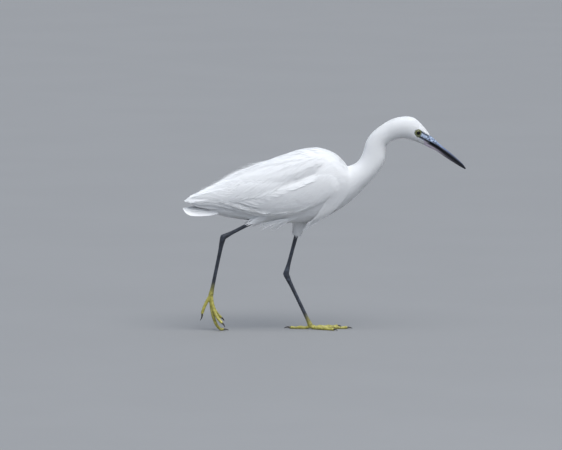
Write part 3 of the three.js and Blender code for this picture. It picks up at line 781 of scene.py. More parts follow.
class Coat:
    """Gathers closed thin feathers into one mesh."""

    def __init__(self):
        self.V, self.F, self.uv, self.vane, self.tone, self.own, self.NL, self.n = [], [], [], [], [], [], [], 0

    def add(self, C, N, w, th, root_uv, tone, own, wide=4, cup=0.0, own_tilt=0.28, roll=0.16):
        """C, N: [m, k, 3] shaft and normals; w, th: [m, k] half-width, half-thickness."""
        m, k, _ = C.shape
        T = unit(np.gradient(C, axis=1))
        ground_n = unit(N)
        N = unit(N - T * np.einsum("mki,mki->mk", N, T)[..., None])
        S = np.cross(T, N)
        W, H = w[..., None], th[..., None]
        if wide == 4:
            offs = [(-1, 0, -cup), (0, 1, 0), (1, 0, -cup), (0, -0.6, 0)]
        else:
            offs = [(-1, 0, -cup), (-0.55, 0.55, -cup * 0.35), (0, 1, 0), (0.55, 0.55, -cup * 0.35), (1, 0, -cup), (0.5, -0.45, -cup * 0.35), (0, -0.5, 0), (-0.5, -0.45, -cup * 0.35)]
        c = len(offs)
        ringv = np.stack([C + S * (a * W) + N * (b * H) + N * (d * W) for a, b, d in offs], 2)  # m,k,c,3
        V = ringv.reshape(-1, 3)
        base = np.arange(m)[:, None] * (k * c) + self.n
        pat = []
        for r in range(k - 1):
            for i in range(c):
                j = (i + 1) % c
                pat.append((r * c + i, r * c + j, (r + 1) * c + j, (r + 1) * c + i))
        top = [i % c < c // 2 for i in range(len(pat))]
        e = (k - 1) * c
        for q in range(c // 2 - 1):
            pat.append((q, c - 1 - q, c - 2 - q, q + 1))
            pat.append((e + q, e + q + 1, e + c - 2 - q, e + c - 1 - q))
            top += [True, True]
        pat, top = np.array(pat), np.array(top)
        shade = unit(N * own_tilt + ground_n * (1 - own_tilt))
        lean = np.array([a for a, _, _ in offs])[None, None, :, None]
        up_n = unit(shade[:, :, None] + S[:, :, None] * lean * roll).reshape(m, k * c, 3)
        down_n = unit(-shade[:, :, None] + S[:, :, None] * lean * roll).reshape(m, k * c, 3)
        nl = np.where(top[None, :, None, None], up_n[:, pat], down_n[:, pat])
        self.NL.append(nl.reshape(-1, 3).astype(np.float32))
        self.F.append((base[:, :, None] + pat[None]).reshape(-1, 4))
        self.V.append(V)
        across = np.array([a for a, _, _ in offs])
        run = np.concatenate([np.zeros((m, 1)), np.cumsum(np.linalg.norm(np.diff(C, axis=1), axis=2), axis=1)], axis=1)
        frac = run / np.maximum(run[:, -1:], 1e-6)
        u = root_uv[:, None, None, 0] + np.broadcast_to(across[None, None], (m, k, c)) * 0.0014
        v = root_uv[:, None, None, 1] + np.broadcast_to(frac[..., None], (m, k, c)) * 0.003
        self.uv.append(np.stack([u, v], -1).reshape(-1, 2))
        va = np.abs(across[None, None]) * w[..., None] * 1.0
        self.vane.append(np.stack(np.broadcast_arrays(va + 0 * frac[..., None], run[..., None] + 0 * va), -1).reshape(-1, 2))
        self.tone.append(np.repeat(tone, c, axis=1).ravel() if tone.ndim == 2 else np.repeat(tone, k * c))
        self.own.append(np.repeat(own, k * c))
        self.n += len(V)

    def build(self, name, mat, replaces=()):
        V, F = np.vstack(self.V), np.vstack(self.F)
        me = mesh_from(name, V, F, {"OFBake": np.vstack(self.uv), "Vane": np.vstack(self.vane)},
                       {"tone": np.concatenate(self.tone), "own": np.concatenate(self.own)})
        me.normals_split_custom_set(np.vstack(self.NL).tolist())
        o = object_from(name, me, [mat])
        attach(o, "root")
        if replaces:
            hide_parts(*replaces)
        print(name, "triangles", 2 * len(F), flush=True)
        return o


# the coat's own map: length along the bird's spine by angle round it, wings beside it
spine_c = np.vstack([(trunk_rows[:-20:4, 0:2] + trunk_rows[:-20:4, 2:4]) / 2, (neck_rows[16::4, 0:2] + neck_rows[16::4, 2:4]) / 2])
spine_s = np.concatenate([[0], np.cumsum(np.linalg.norm(np.diff(spine_c, axis=0), axis=1))])


def spine_uv(p):
    q = p[:, [0, 2]]
    best, s, ang = np.full(len(q), 1e9), np.zeros(len(q)), np.zeros(len(q))
    for i in range(len(spine_c) - 1):
        a, b = spine_c[i], spine_c[i + 1]
        d = b - a
        t = np.clip(((q - a) @ d) / (d @ d), 0, 1)
        foot = a + t[:, None] * d
        dist = np.linalg.norm(q - foot, axis=1)
        up = np.array([-d[1], d[0]]) / np.linalg.norm(d)
        up = up if up[1] > 0 or up[0] < 0 else -up
        closer = dist < best
        best[closer] = dist[closer]
        s[closer] = spine_s[i] + t[closer] * np.linalg.norm(d)
        ang[closer] = np.arctan2(p[closer, 1], ((q - foot) @ up)[closer])
    return np.stack([0.01 + 0.62 * s / spine_s[-1], 0.02 + 0.95 * (ang + math.pi) / TAU], -1), s, ang


# flow of the coat on the skin, from the middle line of the body
def guide_table():
    rows = []
    for table, keep in ((trunk_rows, slice(2, 78, 3)), (neck_rows, slice(12, None, 3))):
        c = (table[:, 0:2] + table[:, 2:4]) / 2
        d = -np.gradient(c, axis=0)
        d /= np.linalg.norm(d, axis=1)[:, None]
        for a, b, w, dep in zip(c[keep], d[keep], table[keep, 4], table[keep, 5]):
            rows.append([a[0], a[1], b[0], b[1], w, dep])
    return np.array(rows)


GUIDE = guide_table()


def field(p):
    """Direction of the coat and its depth at points."""
    q = p[:, [0, 2]]
    d2 = ((q[:, None] - GUIDE[None, :, :2]) ** 2).sum(2) + 16.0
    w = 1 / d2 ** 2.5
    w /= w.sum(1, keepdims=True)
    flow = np.zeros((len(p), 3))
    flow[:, 0], flow[:, 2] = w @ GUIDE[:, 2], w @ GUIDE[:, 3]
    depth = w @ GUIDE[:, 5]
    return flow, depth


class Surface:
    """The skin as a ground to walk feathers on."""

    def __init__(self, me):
        self.p = points_of(me)
        nrm = np.zeros(len(me.vertices) * 3, np.float32)
        me.vertex_normals.foreach_get("vector", nrm)
        self.vn = nrm.reshape(-1, 3).astype(float)
        me.calc_loop_triangles()
        tri = np.zeros(len(me.loop_triangles) * 3, np.int32)
        me.loop_triangles.foreach_get("vertices", tri)
        self.tri = tri.reshape(-1, 3)
        self.centre = self.p[self.tri].mean(1)
        self.n = unit(self.vn[self.tri].mean(1))
        a, b, c = (self.p[self.tri[:, i]] for i in range(3))
        self.area = np.linalg.norm(np.cross(b - a, c - a), axis=1) / 2
        self.bvh = BVHTree.FromPolygons([tuple(v) for v in self.p], [tuple(int(x) for x in t) for t in self.tri])
        self.flow, self.depth = field(self.centre)


def bend_flow(p, n, flow):
    """Local turns of the flow: scapulars droop over the wing, the breast hangs, the flank runs back."""
    f = flow.copy()
    side = np.clip(np.abs(n[:, 1]) * 1.3 - 0.15, 0, 1)
    x, z = p[:, 0], p[:, 2]
    scap = side * np.clip((z - 225) / 25, 0, 1) * np.clip((25 - x) / 25, 0, 1) * np.clip((x + 200) / 60, 0, 1)
    f[:, 2] -= 0.55 * scap
    breast = np.clip((x + 10) / 30, 0, 1) * np.clip((75 - x) / 20, 0, 1) * np.clip((262 - z) / 25, 0, 1)
    f[:, 2] -= 0.35 * breast
    for leg in LEG.values():
        a, b = np.array(leg["knee"], float), np.array(leg["down"], float)
        way = unit((b - a)[None])[0]
        t = np.clip(((p - a) @ (b - a)) / ((b - a) @ (b - a)), 0, 1.1)
        d = np.linalg.norm(p - (a + t[:, None] * (b - a)), axis=1)
        on = np.clip((z < 193) * (16 - d) / 4, 0, 1) * (t > 0.35)
        f = f * (1 - on[:, None]) + way * on[:, None]
    return unit(f)


ground = Surface(skin)
ground.flow = bend_flow(ground.centre, ground.n, ground.flow)
print("ground", len(ground.tri))

wing_x = (wing_rows[:, 0] + wing_rows[:, 2]) / 2
trunk_mid = np.stack([(trunk_rows[:, 0] + trunk_rows[:, 2]) / 2, (trunk_rows[:, 1] + trunk_rows[:, 3]) / 2], -1)


def wing_cover(p):
    """Degrees inside the span that the folded wing covers, negative outside."""
    up = np.array([-0.30, 1.0]) / math.hypot(0.30, 1.0)
    q = p[:, [0, 2]]
    i = np.argmin(((q[:, None] - trunk_mid[None]) ** 2).sum(2), axis=1)
    # the section's own middle under each point, found along the back line
    rel = q - trunk_mid[i]
    ang = np.degrees(np.arctan2(np.abs(p[:, 1]), rel @ up))
    x = trunk_mid[i, 0]
    a1, a2 = np.interp(x, wing_x, wing_rows[:, 5]), np.interp(x, wing_x, wing_rows[:, 6])
    inside = np.minimum(ang - a1, a2 - ang)
    return np.where((x < 14) & (p[:, 0] < 16), inside, -90.0), ang, a1


def scatter(mask, spacing, seed):
    """Roots on the skin at about that spacing [per face], no two too near."""
    r = np.random.default_rng(seed)
    idx = np.where(mask)[0]
    weight = ground.area[idx] / spacing[idx] ** 2
    count = int(weight.sum() * 4.5)
    pick = idx[r.choice(len(idx), count, p=weight / weight.sum())]
    a, b = r.random(count), r.random(count)
    flip = a + b > 1
    a[flip], b[flip] = 1 - a[flip], 1 - b[flip]
    t = ground.tri[pick]
    P = ground.p[t[:, 0]] * (1 - a - b)[:, None] + ground.p[t[:, 1]] * a[:, None] + ground.p[t[:, 2]] * b[:, None]
    kd = KDTree(count)
    for i, q in enumerate(P):
        kd.insert(q, i)
    kd.balance()
    dead, keep = np.zeros(count, bool), []
    for i in range(count):
        if dead[i]:
            continue
        keep.append(i)
        for _, j, _ in kd.find_range(P[i], spacing[pick[i]] * 0.82):
            dead[j] = True
    keep = np.array(keep)
    return P[keep], pick[keep]


FLOW_V, NORM_V = [Vector(f) for f in ground.flow], [Vector(f) for f in ground.n]


def walk(P, face, D, length, k, follow=0.6):
    """Paths over the skin: points, normals and depths, [m, k, ...]."""
    m = len(P)
    C, N, dep = np.zeros((m, k, 3)), np.zeros((m, k, 3)), np.zeros((m, k))
    find = ground.bvh.find_nearest
    for i in range(m):
        p, fi, d = Vector(P[i]), int(face[i]), Vector(D[i])
        n = NORM_V[fi]
        C[i, 0], N[i, 0], dep[i, 0] = p, n, ground.depth[fi]
        step = length[i] / (k - 1)
        for j in range(1, k):
            d = d - n * d.dot(n)
            d.normalize()
            loc, _, fi, _ = find(p + d * step)
            p, n = loc, (NORM_V[fi] + n * 0.6).normalized()
            d = d * (1 - follow) + FLOW_V[fi] * follow
            C[i, j], N[i, j], dep[i, j] = p, n, ground.depth[fi]
    return C, N, dep


RISE_T = [0.0, 0.15, 0.4, 0.75, 1.0]
RISE = [0.05, 0.5, 0.76, 0.90, 0.97]


def tuft_tract(coat, mask, spacing, length, half, locks, seed, spread=0.2, k=5, thick=0.14, fluff=0.0,
               tone=(0.2, 1.0), extra=0.0, fan=0.30, follow=0.6, turn=None, stray=0.05):
    """Contour feathers: each is a hand of thin overlapping locks that leave the skin and lie along it."""
    r = np.random.default_rng(seed)
    P, face = scatter(mask, spacing, seed)
    m = len(P)
    L, W = length[face] * r.uniform(0.85, 1.15, m), half[face] * r.uniform(0.88, 1.12, m)
    F, N = ground.flow[face], ground.n[face]
    if turn is not None:
        F = F + turn[face]
    F = unit(F - N * np.einsum("ij,ij->i", F, N)[:, None])
    S = np.cross(F, N)
    F = unit(F + S * r.normal(0, stray, m)[:, None])
    S = np.cross(F, N)
    uv, _, _ = spine_uv(P)
    own = r.random(m)
    reach = W * locks * fan
    for q in np.linspace(-1, 1, locks) if locks > 1 else [0.0]:
        root = P + S * (q * reach)[:, None]
        D = unit(F + S * (q * spread + r.normal(0, 0.03, m))[:, None])
        length_q = L * (1 - 0.12 * q * q) * r.uniform(0.92, 1.06, m)
        C, Nn, dep = walk(root, face, D, length_q, k, follow)
        t = np.linspace(0, 1, k)[None]
        rise = np.interp(t, RISE_T, RISE)
        h = (dep + extra * np.clip(t * 3, 0, 1)) * rise * r.uniform(0.975, 1.0, m)[:, None]
        h = h + fluff * t ** 2 * r.uniform(0.0, 1.0, m)[:, None] - 0.035 * dep * abs(q)
        C = C + Nn * h[..., None]
        shape = np.interp(t[0], [0, 0.25, 0.6, 0.85, 1.0], [0.5, 0.9, 1.0, 0.66, 0.05])[None]
        w = W[:, None] * shape
        th = np.interp(t[0], [0, 0.4, 1.0], [1.0, 0.85, 0.25])[None] * thick * np.ones((m, 1))
        # painted shade: darker towards the root, where the next feathers overlap, times a random tone per feather
        root_shade_grade = tone[0] + (tone[1] - tone[0]) * t ** 0.7 * np.ones((m, 1))
        coat.add(C, Nn, w, th, uv, root_shade_grade * r.uniform(0.93, 1.0, m)[:, None], own, cup=0.06)
    return m


c = ground.centre
inside_wing, angle, edge1 = wing_cover(c)
_, spine_at, spine_angle = spine_uv(c)
on_leg = leg_mark[ground.tri].max(1) > 0.5
bare_d = bare(c)
eye_d = np.linalg.norm(np.abs(c) - [EYE["x"], EYE["y"] + 3.6, EYE["z"]], axis=1)
open_face = (c[:, 0] > 140) & ((bare_d > -0.1) | (eye_d < 5.5))
thigh_zone = np.zeros(len(c), bool)
for leg in LEG.values():
    a, b = np.array(leg["knee"], float), np.array(leg["down"], float)
    t = ((c - a) @ (b - a)) / ((b - a) @ (b - a))
    d = np.linalg.norm(c - (a + np.clip(t, 0, 1.2)[:, None] * (b - a)), axis=1)
    thigh_zone |= (t > 0.42) & (c[:, 2] < 192) & (d < 15 - 9 * t)
    on_leg |= (t > 0.87) & (d < 12) & (c[:, 2] < 196)
is_neck = (c[:, 0] > 60) & (c[:, 2] > 262) | (c[:, 0] > 75)
is_head = c[:, 0] > 112
front_cap = (c[:, 0] > 181.5) & (ground.n[:, 0] > 0.55)
ok = ~on_leg & ~open_face & ~front_cap & (c[:, 0] > -186)
# the coat over the folded wing's bed is as deep as the wing
ground.depth = np.where(inside_wing > -4, np.minimum(ground.depth, 3.9), ground.depth)

# head and face: hair-like feathers, smallest round the eye and at the bill
near_face = np.clip((9 + bare_d) / 9, 0, 1) * (c[:, 0] > 140)
near_eye = np.clip((13 - eye_d) / 7, 0, 1)
size = np.interp(c[:, 0], [108, 125, 145, 160, 172, 184], [2.7, 2.35, 1.95, 1.6, 1.35, 1.2])
size = size * (1 - 0.34 * np.maximum(near_face, near_eye))
upper_head = spine_uv(c)[2]
for name, part, seed in (("coat_crown", np.abs(upper_head) < 1.25, 11), ("coat_cheek", np.abs(upper_head) >= 1.25, 16)):
    coat = Coat()
    tuft_tract(coat, ok & is_head & part, size * 0.90, size * 4.2, size * 0.27, 3, seed, spread=0.14, k=4, thick=0.06, tone=(0.35, 1.0))
    coat.build(name, FEATHER_FINE)

# neck: narrow silky feathers
size = np.interp(c[:, 0] + c[:, 2] * 0.6, [200, 250, 290, 330], [3.9, 3.4, 3.0, 2.7])
for name, part, seed in (("coat_neck_fore", np.abs(spine_angle) >= 1.5, 12), ("coat_neck_nape", np.abs(spine_angle) < 1.5, 17)):
    coat = Coat()
    tuft_tract(coat, ok & is_neck & ~is_head & part, size * 0.93, size * 5.8, size * 0.28, 4, seed, spread=0.12, k=6, thick=0.08)
    coat.build(name, FEATHER)

# trunk: back and mantle, breast and belly, thighs
covered = inside_wing > 10
trunk_mask = ok & ~is_neck & ~covered & ~thigh_zone
upper = trunk_mask & (angle < edge1 + 14) & (c[:, 0] < 34)
one = np.ones(len(c))
for name, part, seed in (("coat_mantle", c[:, 0] > -45, 13), ("coat_back", c[:, 0] <= -45, 20)):
    coat = Coat()
    tuft_tract(coat, upper & part, one * 4.5, one * 31.0, one * 1.25, 5, seed, spread=0.12, k=6, thick=0.10)
    coat.build(name, FEATHER, replaces=("trunk",))
size = np.interp(c[:, 0], [-200, -120, 0, 60], [4.3, 4.8, 4.7, 4.1])
for name, part, seed in (("coat_breast", c[:, 0] > -35, 14), ("coat_belly", c[:, 0] <= -35, 18)):
    coat = Coat()
    tuft_tract(coat, trunk_mask & ~upper & part, size * 0.92, size * 6.2, size * 0.27, 5, seed, spread=0.13, k=6, thick=0.10, fluff=0.3)
    coat.build(name, FEATHER)
coat = Coat()
tuft_tract(coat, ok & thigh_zone, one * 2.2, one * 9.0, one * 0.55, 3, 15, spread=0.12, k=5, thick=0.07, fluff=0.0)
coat.build("coat_thighs", FEATHER, replaces=("thigh_left", "thigh_right"))

# scapulars: long narrow plumes that hang from the back over the wing
def rope_d(x, z, line):
    d = np.full(len(x), 1e9)
    for a, b in zip(line[:-1], line[1:]):
        dx, dz = b[0] - a[0], b[1] - a[1]
        t = np.clip(((x - a[0]) * dx + (z - a[1]) * dz) / (dx * dx + dz * dz), 0, 1)
        d = np.minimum(d, np.hypot(x - a[0] - t * dx, z - a[1] - t * dz))
    return d


back_top = np.interp(c[:, 0], trunk_rows[:, 0], trunk_rows[:, 1])
below_top = back_top - c[:, 2]
scap_zone = ok & ~is_neck & (c[:, 0] < 8) & (c[:, 0] > -172) & (below_top > 1) & (below_top < np.interp(c[:, 0], [-172, -60, -20, 8], [22, 34, 24, 14]))
droop = np.zeros((len(c), 3))
droop[:, 2] = -0.55 * np.clip(np.abs(ground.n[:, 1]) * 1.4, 0, 1)
length = np.interp(c[:, 0], [-172, -120, -60, -20, 8], [52, 66, 58, 34, 24])
coat = Coat()
tuft_tract(coat, scap_zone, one * 6.2, length, one * 1.3, 4, 19, spread=0.09, k=9, thick=0.12, extra=0.9, follow=0.35, turn=droop, stray=0.06)
coat.build("coat_scapulars", FEATHER)


# ---------------------------------------------------------------------------- wings
def wing_vane(coat, side, a0, f0, a1, f1, half, h0, h1, k=14, wide=8, curve=0.0, tip=0.35, seed=0, point=False, cup=0.06, thick=0.26, barbs=0):
    """One feather laid on the folded wing from (a0, f0) to (a1, f1); barbs > 1 splits it into locks."""
    r = np.random.default_rng(seed)
    t = np.linspace(0, 1, k)
    e = 0.004
    lanes = np.linspace(-1, 1, barbs) if barbs > 1 else np.array([0.0])
    lit, own = r.uniform(0.93, 1.0), np.array([r.random()])
    for q in lanes:
        run = 1 - 0.10 * q * q * (1 if barbs > 1 else 0)
        at = a0 + (a1 - a0) * t * run
        f = f0 + (f1 - f0) * t ** 1.15 + curve * np.sin(math.pi * t)
        h = h1 + (h0 - h1) * (1 - t) ** 2.6 + (0.10 * (1 - abs(q)) if barbs > 1 else 0)
        C = wing_surface(side, at, f, h)
        da = wing_surface(side, at + e, f, h) - wing_surface(side, at - e, f, h)
        df = wing_surface(side, at, f + 0.03, h) - wing_surface(side, at, f - 0.03, h)
        N = unit(np.cross(da, df))
        N[np.einsum("ij,ij->i", N, np.tile([0, side, 0.15], (k, 1))) < 0] *= -1
        if barbs > 1:
            T = unit(np.gradient(C, axis=0))
            across = np.cross(T, N)
            C = C + across * (q * half * 0.62 * np.interp(t, [0, 0.3, 0.8, 1.0], [0.35, 0.9, 1.0, 0.82]))[:, None]
        if point or barbs > 1:
            shape = np.interp(t, [0, 0.12, 0.55, 0.8, 0.93, 1.0], [0.35, 0.8, 1.0, 0.8, 0.4, 0.05])
        else:
            shape = np.interp(t, [0, 0.12, 0.5, 1 - tip * 0.35, 1 - tip * 0.1, 1.0], [0.4, 0.8, 1.0, 0.92, 0.6, 0.08])
        w = half * (1.9 / (barbs + 1) if barbs > 1 else 1.0) * shape * (1 + 0.02 * r.normal(size=k))
        th = np.interp(t, [0, 0.5, 1.0], [1.0, 0.7, 0.25]) * thick
        uv = np.array([[0.68 + 0.3 * min(a0, 1), (0.02 if side > 0 else 0.52) + 0.44 * min(max(f0, 0), 1)]])
        # painted shade: darker towards the root, times a random tone per feather
        root_shade_grade = 0.35 + 0.65 * np.interp(t, [0, 0.5, 1], [0.0, 0.75, 1.0])
        coat.add(C[None], N[None], w[None], th[None], uv, root_shade_grade[None] * lit, own, wide=4 if barbs > 1 else wide, cup=cup)


def build_wing(side):
    r = np.random.default_rng(21 if side > 0 else 22)
    coat = Coat()
    # primaries: the narrow outer fan that shows past the rest at the tip
    for i in range(8):
        q = i / 7
        wing_vane(coat, side, 0.34, 0.90 - 0.14 * q, 0.90 + 0.10 * q, 0.97 - 0.60 * q, 6.6, -4.6, -1.5 + 0.1 * i, seed=i, point=True, curve=0.02)
    for layer, deep in enumerate((-4.6, -7.4, -10.2)):
        for i in range(7):
            q = (i + 0.5) / 7
            wing_vane(coat, side, 0.42, 0.94 - 0.80 * q, 0.955 - 0.02 * layer + 0.015 * q, 0.94 - 0.86 * q, 6.4 - 0.6 * layer, deep - 1.0, deep + 0.1 * i, seed=700 + 10 * layer + i, point=True, k=10)
    # secondaries, lowest first, each lying over the one below
    for i in range(13):
        q = i / 12
        wing_vane(coat, side, 0.28 + 0.05 * q, 0.93 - 0.60 * q, 0.64 + 0.31 * q ** 0.9, 1.0 - 0.58 * q, 8.2, -4.0 + 0.08 * i, -0.8 + 0.06 * i, seed=20 + i, tip=0.3, curve=0.03)
    # tertials: broad and loose, over the rear of the back
    for i in range(8):
        q = i / 7
        wing_vane(coat, side, 0.25 - 0.03 * q, 0.46 - 0.42 * q, 0.80 + 0.15 * q, 0.52 - 0.46 * q, 10.0, -3.0, -0.1 + 0.07 * i, seed=40 + i, barbs=5, k=12, thick=0.16, curve=0.04)
    # greater, median, lesser and edge coverts, rear rows first
    rows = [
        (0.330, 0.190, 12, 6.6), (0.290, 0.165, 13, 6.0), (0.252, 0.145, 13, 5.4), (0.216, 0.130, 14, 5.0),
        (0.182, 0.118, 14, 4.6), (0.150, 0.108, 14, 4.3), (0.120, 0.100, 14, 4.0), (0.092, 0.094, 14, 3.8),
        (0.066, 0.088, 13, 3.5), (0.042, 0.082, 12, 3.3), (0.020, 0.076, 11, 3.1), (0.000, 0.070, 10, 2.9),
        (-0.02, 0.066, 9, 2.8),
    ]
    for n, (a0, long, count, half) in enumerate(rows):
        for i in range(count):
            q = (i + 0.5 * (n % 2)) / (count - 0.5)
            f = 0.985 - 0.985 * q + r.normal(0, 0.008)
            a = a0 + 0.025 * (1 - q) + r.normal(0, 0.004)
            wing_vane(coat, side, a, f, a + long * r.uniform(0.9, 1.08), min(f + 0.015 + 0.05 * q, 1.0), half, -3.6, -0.1 + 0.02 * n + r.normal(0, 0.05), k=6, seed=100 * n + i, barbs=5, thick=0.12, cup=0.06)
    # the leading edge that shows as the wing's lower line, down to the hand
    for row in range(2):
        for i in range(38):
            a = 0.0 + 0.58 * i / 37
            wing_vane(coat, side, a, 0.93 + 0.03 * row, a + 0.085, 0.995 + 0.015 * row, 2.8, -3.0, 0.15 - 0.25 * row, k=6, seed=900 + 40 * row + i, barbs=3, thick=0.12, cup=0.06)
    name = "left" if side > 0 else "right"
    return coat.build("feathers_wing_" + name, FEATHER_LONG, replaces=("wing_" + name,))


for s in (1, -1):
    build_wing(s)


# ---------------------------------------------------------------------------- free feathers
def free_vane(coat, path, half, up, k=16, wide=8, thick=0.3, point=False, cup=0.1, uv=(0.66, 0.5), seed=0, tone=(0.3, 1.0)):
    """A feather along points in space [x, y, z], its face turned towards up."""
    r = np.random.default_rng(seed)
    rows = smooth(path, 6)
    seg = np.concatenate([[0], np.cumsum(np.linalg.norm(np.diff(rows[:, :3], axis=0), axis=1))])
    t = np.linspace(0, 1, k)
    C = np.stack([np.interp(t * seg[-1], seg, rows[:, i]) for i in range(3)], -1)
    N = np.tile(unit(np.array(up, float)[None])[0], (k, 1))
    if point:
        shape = np.interp(t, [0, 0.2, 0.5, 0.8, 1.0], [0.12, 0.75, 1.0, 0.6, 0.05])
    else:
        shape = np.interp(t, [0, 0.15, 0.6, 0.88, 0.97, 1.0], [0.3, 0.7, 1.0, 0.95, 0.6, 0.1])
    w = half * shape * (1 + 0.03 * r.normal(size=k))
    th = np.interp(t, [0, 0.5, 1.0], [1.0, 0.7, 0.3]) * thick
    # painted shade: darker towards the root end of the feather
    root_shade_grade = tone[0] + (tone[1] - tone[0]) * t
    coat.add(C[None], N[None], w[None], th[None], np.array([uv]), root_shade_grade[None], np.array([r.random()]), wide=wide, cup=cup)


# tail: twelve feathers in a shallow roof, with coverts over and under its root
coat = Coat()
for i in range(12):
    q = (i - 5.5) / 5.5
    a = abs(q)
    root = (-150, 4.0 * q, 216 - 3 * a)
    tip = (-242.5 + 5.5 * a ** 2, 12.5 * q, 211.0 - 7.4 * a ** 1.3)
    mid = (-198, 12.0 * q, 215.5 - 11.0 * a ** 1.4)
    free_vane(coat, [root, mid, tip], 7.4 - 0.8 * a, (0.1, 1.15 * q, 1.0), uv=(0.66, 0.1 + 0.02 * i), seed=60 + i, thick=0.30, k=14)
for i in range(14):
    q = (i - 6.5) / 6.5
    a = abs(q)
    for under in (0, 1):
        drop = 3.2 if under else -1.6
        root = (-150, 5.0 * q, 217 - 4 * a - drop)
        tip = (-212 + 6 * a - 6 * under, 12.0 * q, 214.5 - 11.5 * a ** 1.4 - drop * 0.9)
        mid = (-184, 11.0 * q, 216.0 - 9.5 * a ** 1.4 - drop)
        free_vane(coat, [root, mid, tip], 3.6, (0.1, 1.15 * q, 1.0) if not under else (0.0, 1.0 * q, -0.6), k=8, wide=4, thick=0.16, point=True, uv=(0.66, 0.4 + 0.004 * i), seed=80 + i + 20 * under)
coat.build("feathers_tail", FEATHER_LONG, replaces=("tail",))

# hair-like plumes over the rear of the back, and the plumes of the breast and flank
def strand(coat, path, half, thick, up, k=14, point=True, seed=0, tone=(0.6, 1.0)):
    free_vane(coat, path, half, up, k=k, wide=4, thick=thick, point=point, cup=0.0, uv=(0.64 + 0.001 * (seed % 20), 0.5 + 0.002 * (seed % 200)), seed=seed, tone=tone)


r = np.random.default_rng(31)
coat = Coat()
for i in range(150):
    x0 = r.uniform(-172, -70)
    lateral = r.normal(0, 11)
    top = np.interp(x0, trunk_rows[:, 0], trunk_rows[:, 1])
    w = np.interp(x0, trunk_rows[:, 0], trunk_rows[:, 4])
    z0 = top - 4.5 - 0.5 * lateral ** 2 / w
    slope = 0.46 + 0.0006 * (x0 + 120)
    long = r.uniform(34, 62)
    rise = abs(r.normal(0, 2.6)) + 0.4
    curl = r.uniform(-0.5, 1.0) * rise
    pts = []
    for q in (0, 0.25, 0.5, 0.75, 1.0):
        x = x0 - long * q
        zt = np.interp(x, trunk_rows[:, 0], trunk_rows[:, 1]) if x > -206 else 241.5 + 0.48 * (x + 206)
        y = lateral * (1 - 0.35 * q) + r.normal(0, 0.5) * q
        ww = np.interp(x, trunk_rows[:, 0], trunk_rows[:, 4])
        pts.append((x, y, zt - 0.5 * y * y / ww - 3.5 * (1 - q) ** 2 + 0.6 + rise * q ** 1.6 + curl * q ** 4))
    strand(coat, pts, r.uniform(0.22, 0.42), 0.10, (0.3, lateral / 25, 1.0), k=9, seed=i)
# long feathers that close the middle line between the folded wings
ridge_x, ridge_z = [-240, -230, -216, -187, -158, -127, -96], [223.2, 228.6, 235.6, 250.6, 267.0, 280.5, 292.5]
for i in range(110):
    x0 = -92 - 84 * (i / 109) + r.normal(0, 2)
    long = r.uniform(62, 84)
    x1 = max(x0 - long, -237.5 + abs(r.normal(0, 1.5)))
    y0 = r.uniform(-12, 12)
    pts = []
    for q in (0, 0.25, 0.5, 0.75, 1.0):
        x = x0 + (x1 - x0) * q
        y = y0 * (1 - 0.30 * q)
        w = np.interp(x, [-240, -216, -158, -96], [7, 15, 30, 42])
        pts.append((x, y, np.interp(x, ridge_x, ridge_z) - 0.45 * y * y / w - 4.0 * (1 - q) ** 2 + 0.9 * q - (1.1 if i % 3 == 0 else 0.0)))
    free_vane(coat, pts, r.uniform(2.2, 3.2), (0.42, y0 / 22, 0.9), k=11, wide=4, thick=0.12, point=True, cup=0.05, uv=(0.645, 0.1 + 0.01 * (i % 40)), seed=600 + i, tone=(0.5, 1.0))
# loose ends where the wing tips and the tail meet
for i in range(60):
    s = 1 if i % 2 else -1
    x0 = r.uniform(-175, -120)
    y0 = s * r.uniform(3, 20)
    z0 = np.interp(x0, trunk_rows[:, 0], trunk_rows[:, 1]) - 0.5 * y0 * y0 / 26 - 1
    pts = [(x0, y0, z0), (x0 - 22, y0 * 0.95, z0 - 11), (x0 - 44, y0 * 0.85, z0 - 23 + r.normal(0, 0.8)), (x0 - 62, y0 * 0.75, z0 - 33 + r.normal(0, 1.2))]
    strand(coat, pts, r.uniform(0.35, 0.7), 0.12, (0.2, 0.6 * s, 1.0), k=9, seed=200 + i)
coat.build("plumes_back", PLUME)

def clear_of(p, gap):
    """The point moved out of the coat if it is in it."""
    loc, _, fi, _ = ground.bvh.find_nearest(Vector(p))
    n = NORM_V[fi]
    off, need = (Vector(p) - loc).dot(n), ground.depth[fi] + gap
    return np.array(loc + n * need) if off < need else np.array(p)


def on_coat(p, gap):
    loc, _, fi, _ = ground.bvh.find_nearest(Vector(p))
    return np.array(loc + NORM_V[fi] * (ground.depth[fi] * 0.5 + gap))


coat = Coat()
for i in range(230):
    side = -1 if i % 5 < 3 else 1
    u, v, late = r.random(), r.normal(0, 1), r.beta(1.1, 1.7)
    x0 = 16 + 42 * u
    start = on_coat((x0, side * 60, 218 + 31 * u + 9 * v), -0.6)
    tip = np.array([-37 + 52 * late, -6.5 + side * (1.0 + 10 * late) + r.normal(0, 1.0), 171 + 32 * late + r.normal(0, 0.9)])
    if i % 12 == 0:
        tip = np.array([-36.5 + r.normal(0, 1.2), -6.5 + r.normal(0, 1.0), 169.8 + abs(r.normal(0, 1.4))])
    q = np.linspace(0, 1, 17)[:, None]
    line = start + (tip - start) * q
    for turn in range(5):
        line[1:-1] = 0.5 * line[1:-1] + 0.25 * (line[:-2] + line[2:])
        line[1:-3] = [clear_of(w, -0.5 + 1.5 * min(f * 2.2, 1)) for w, f in zip(line[1:-3], q[1:-3, 0])]
    strand(coat, [tuple(w) for w in line[::2]], r.uniform(0.38, 0.72), 0.10, (0.35, side * 0.95, -0.2), k=14, seed=300 + i, tone=(0.7, 1.0))
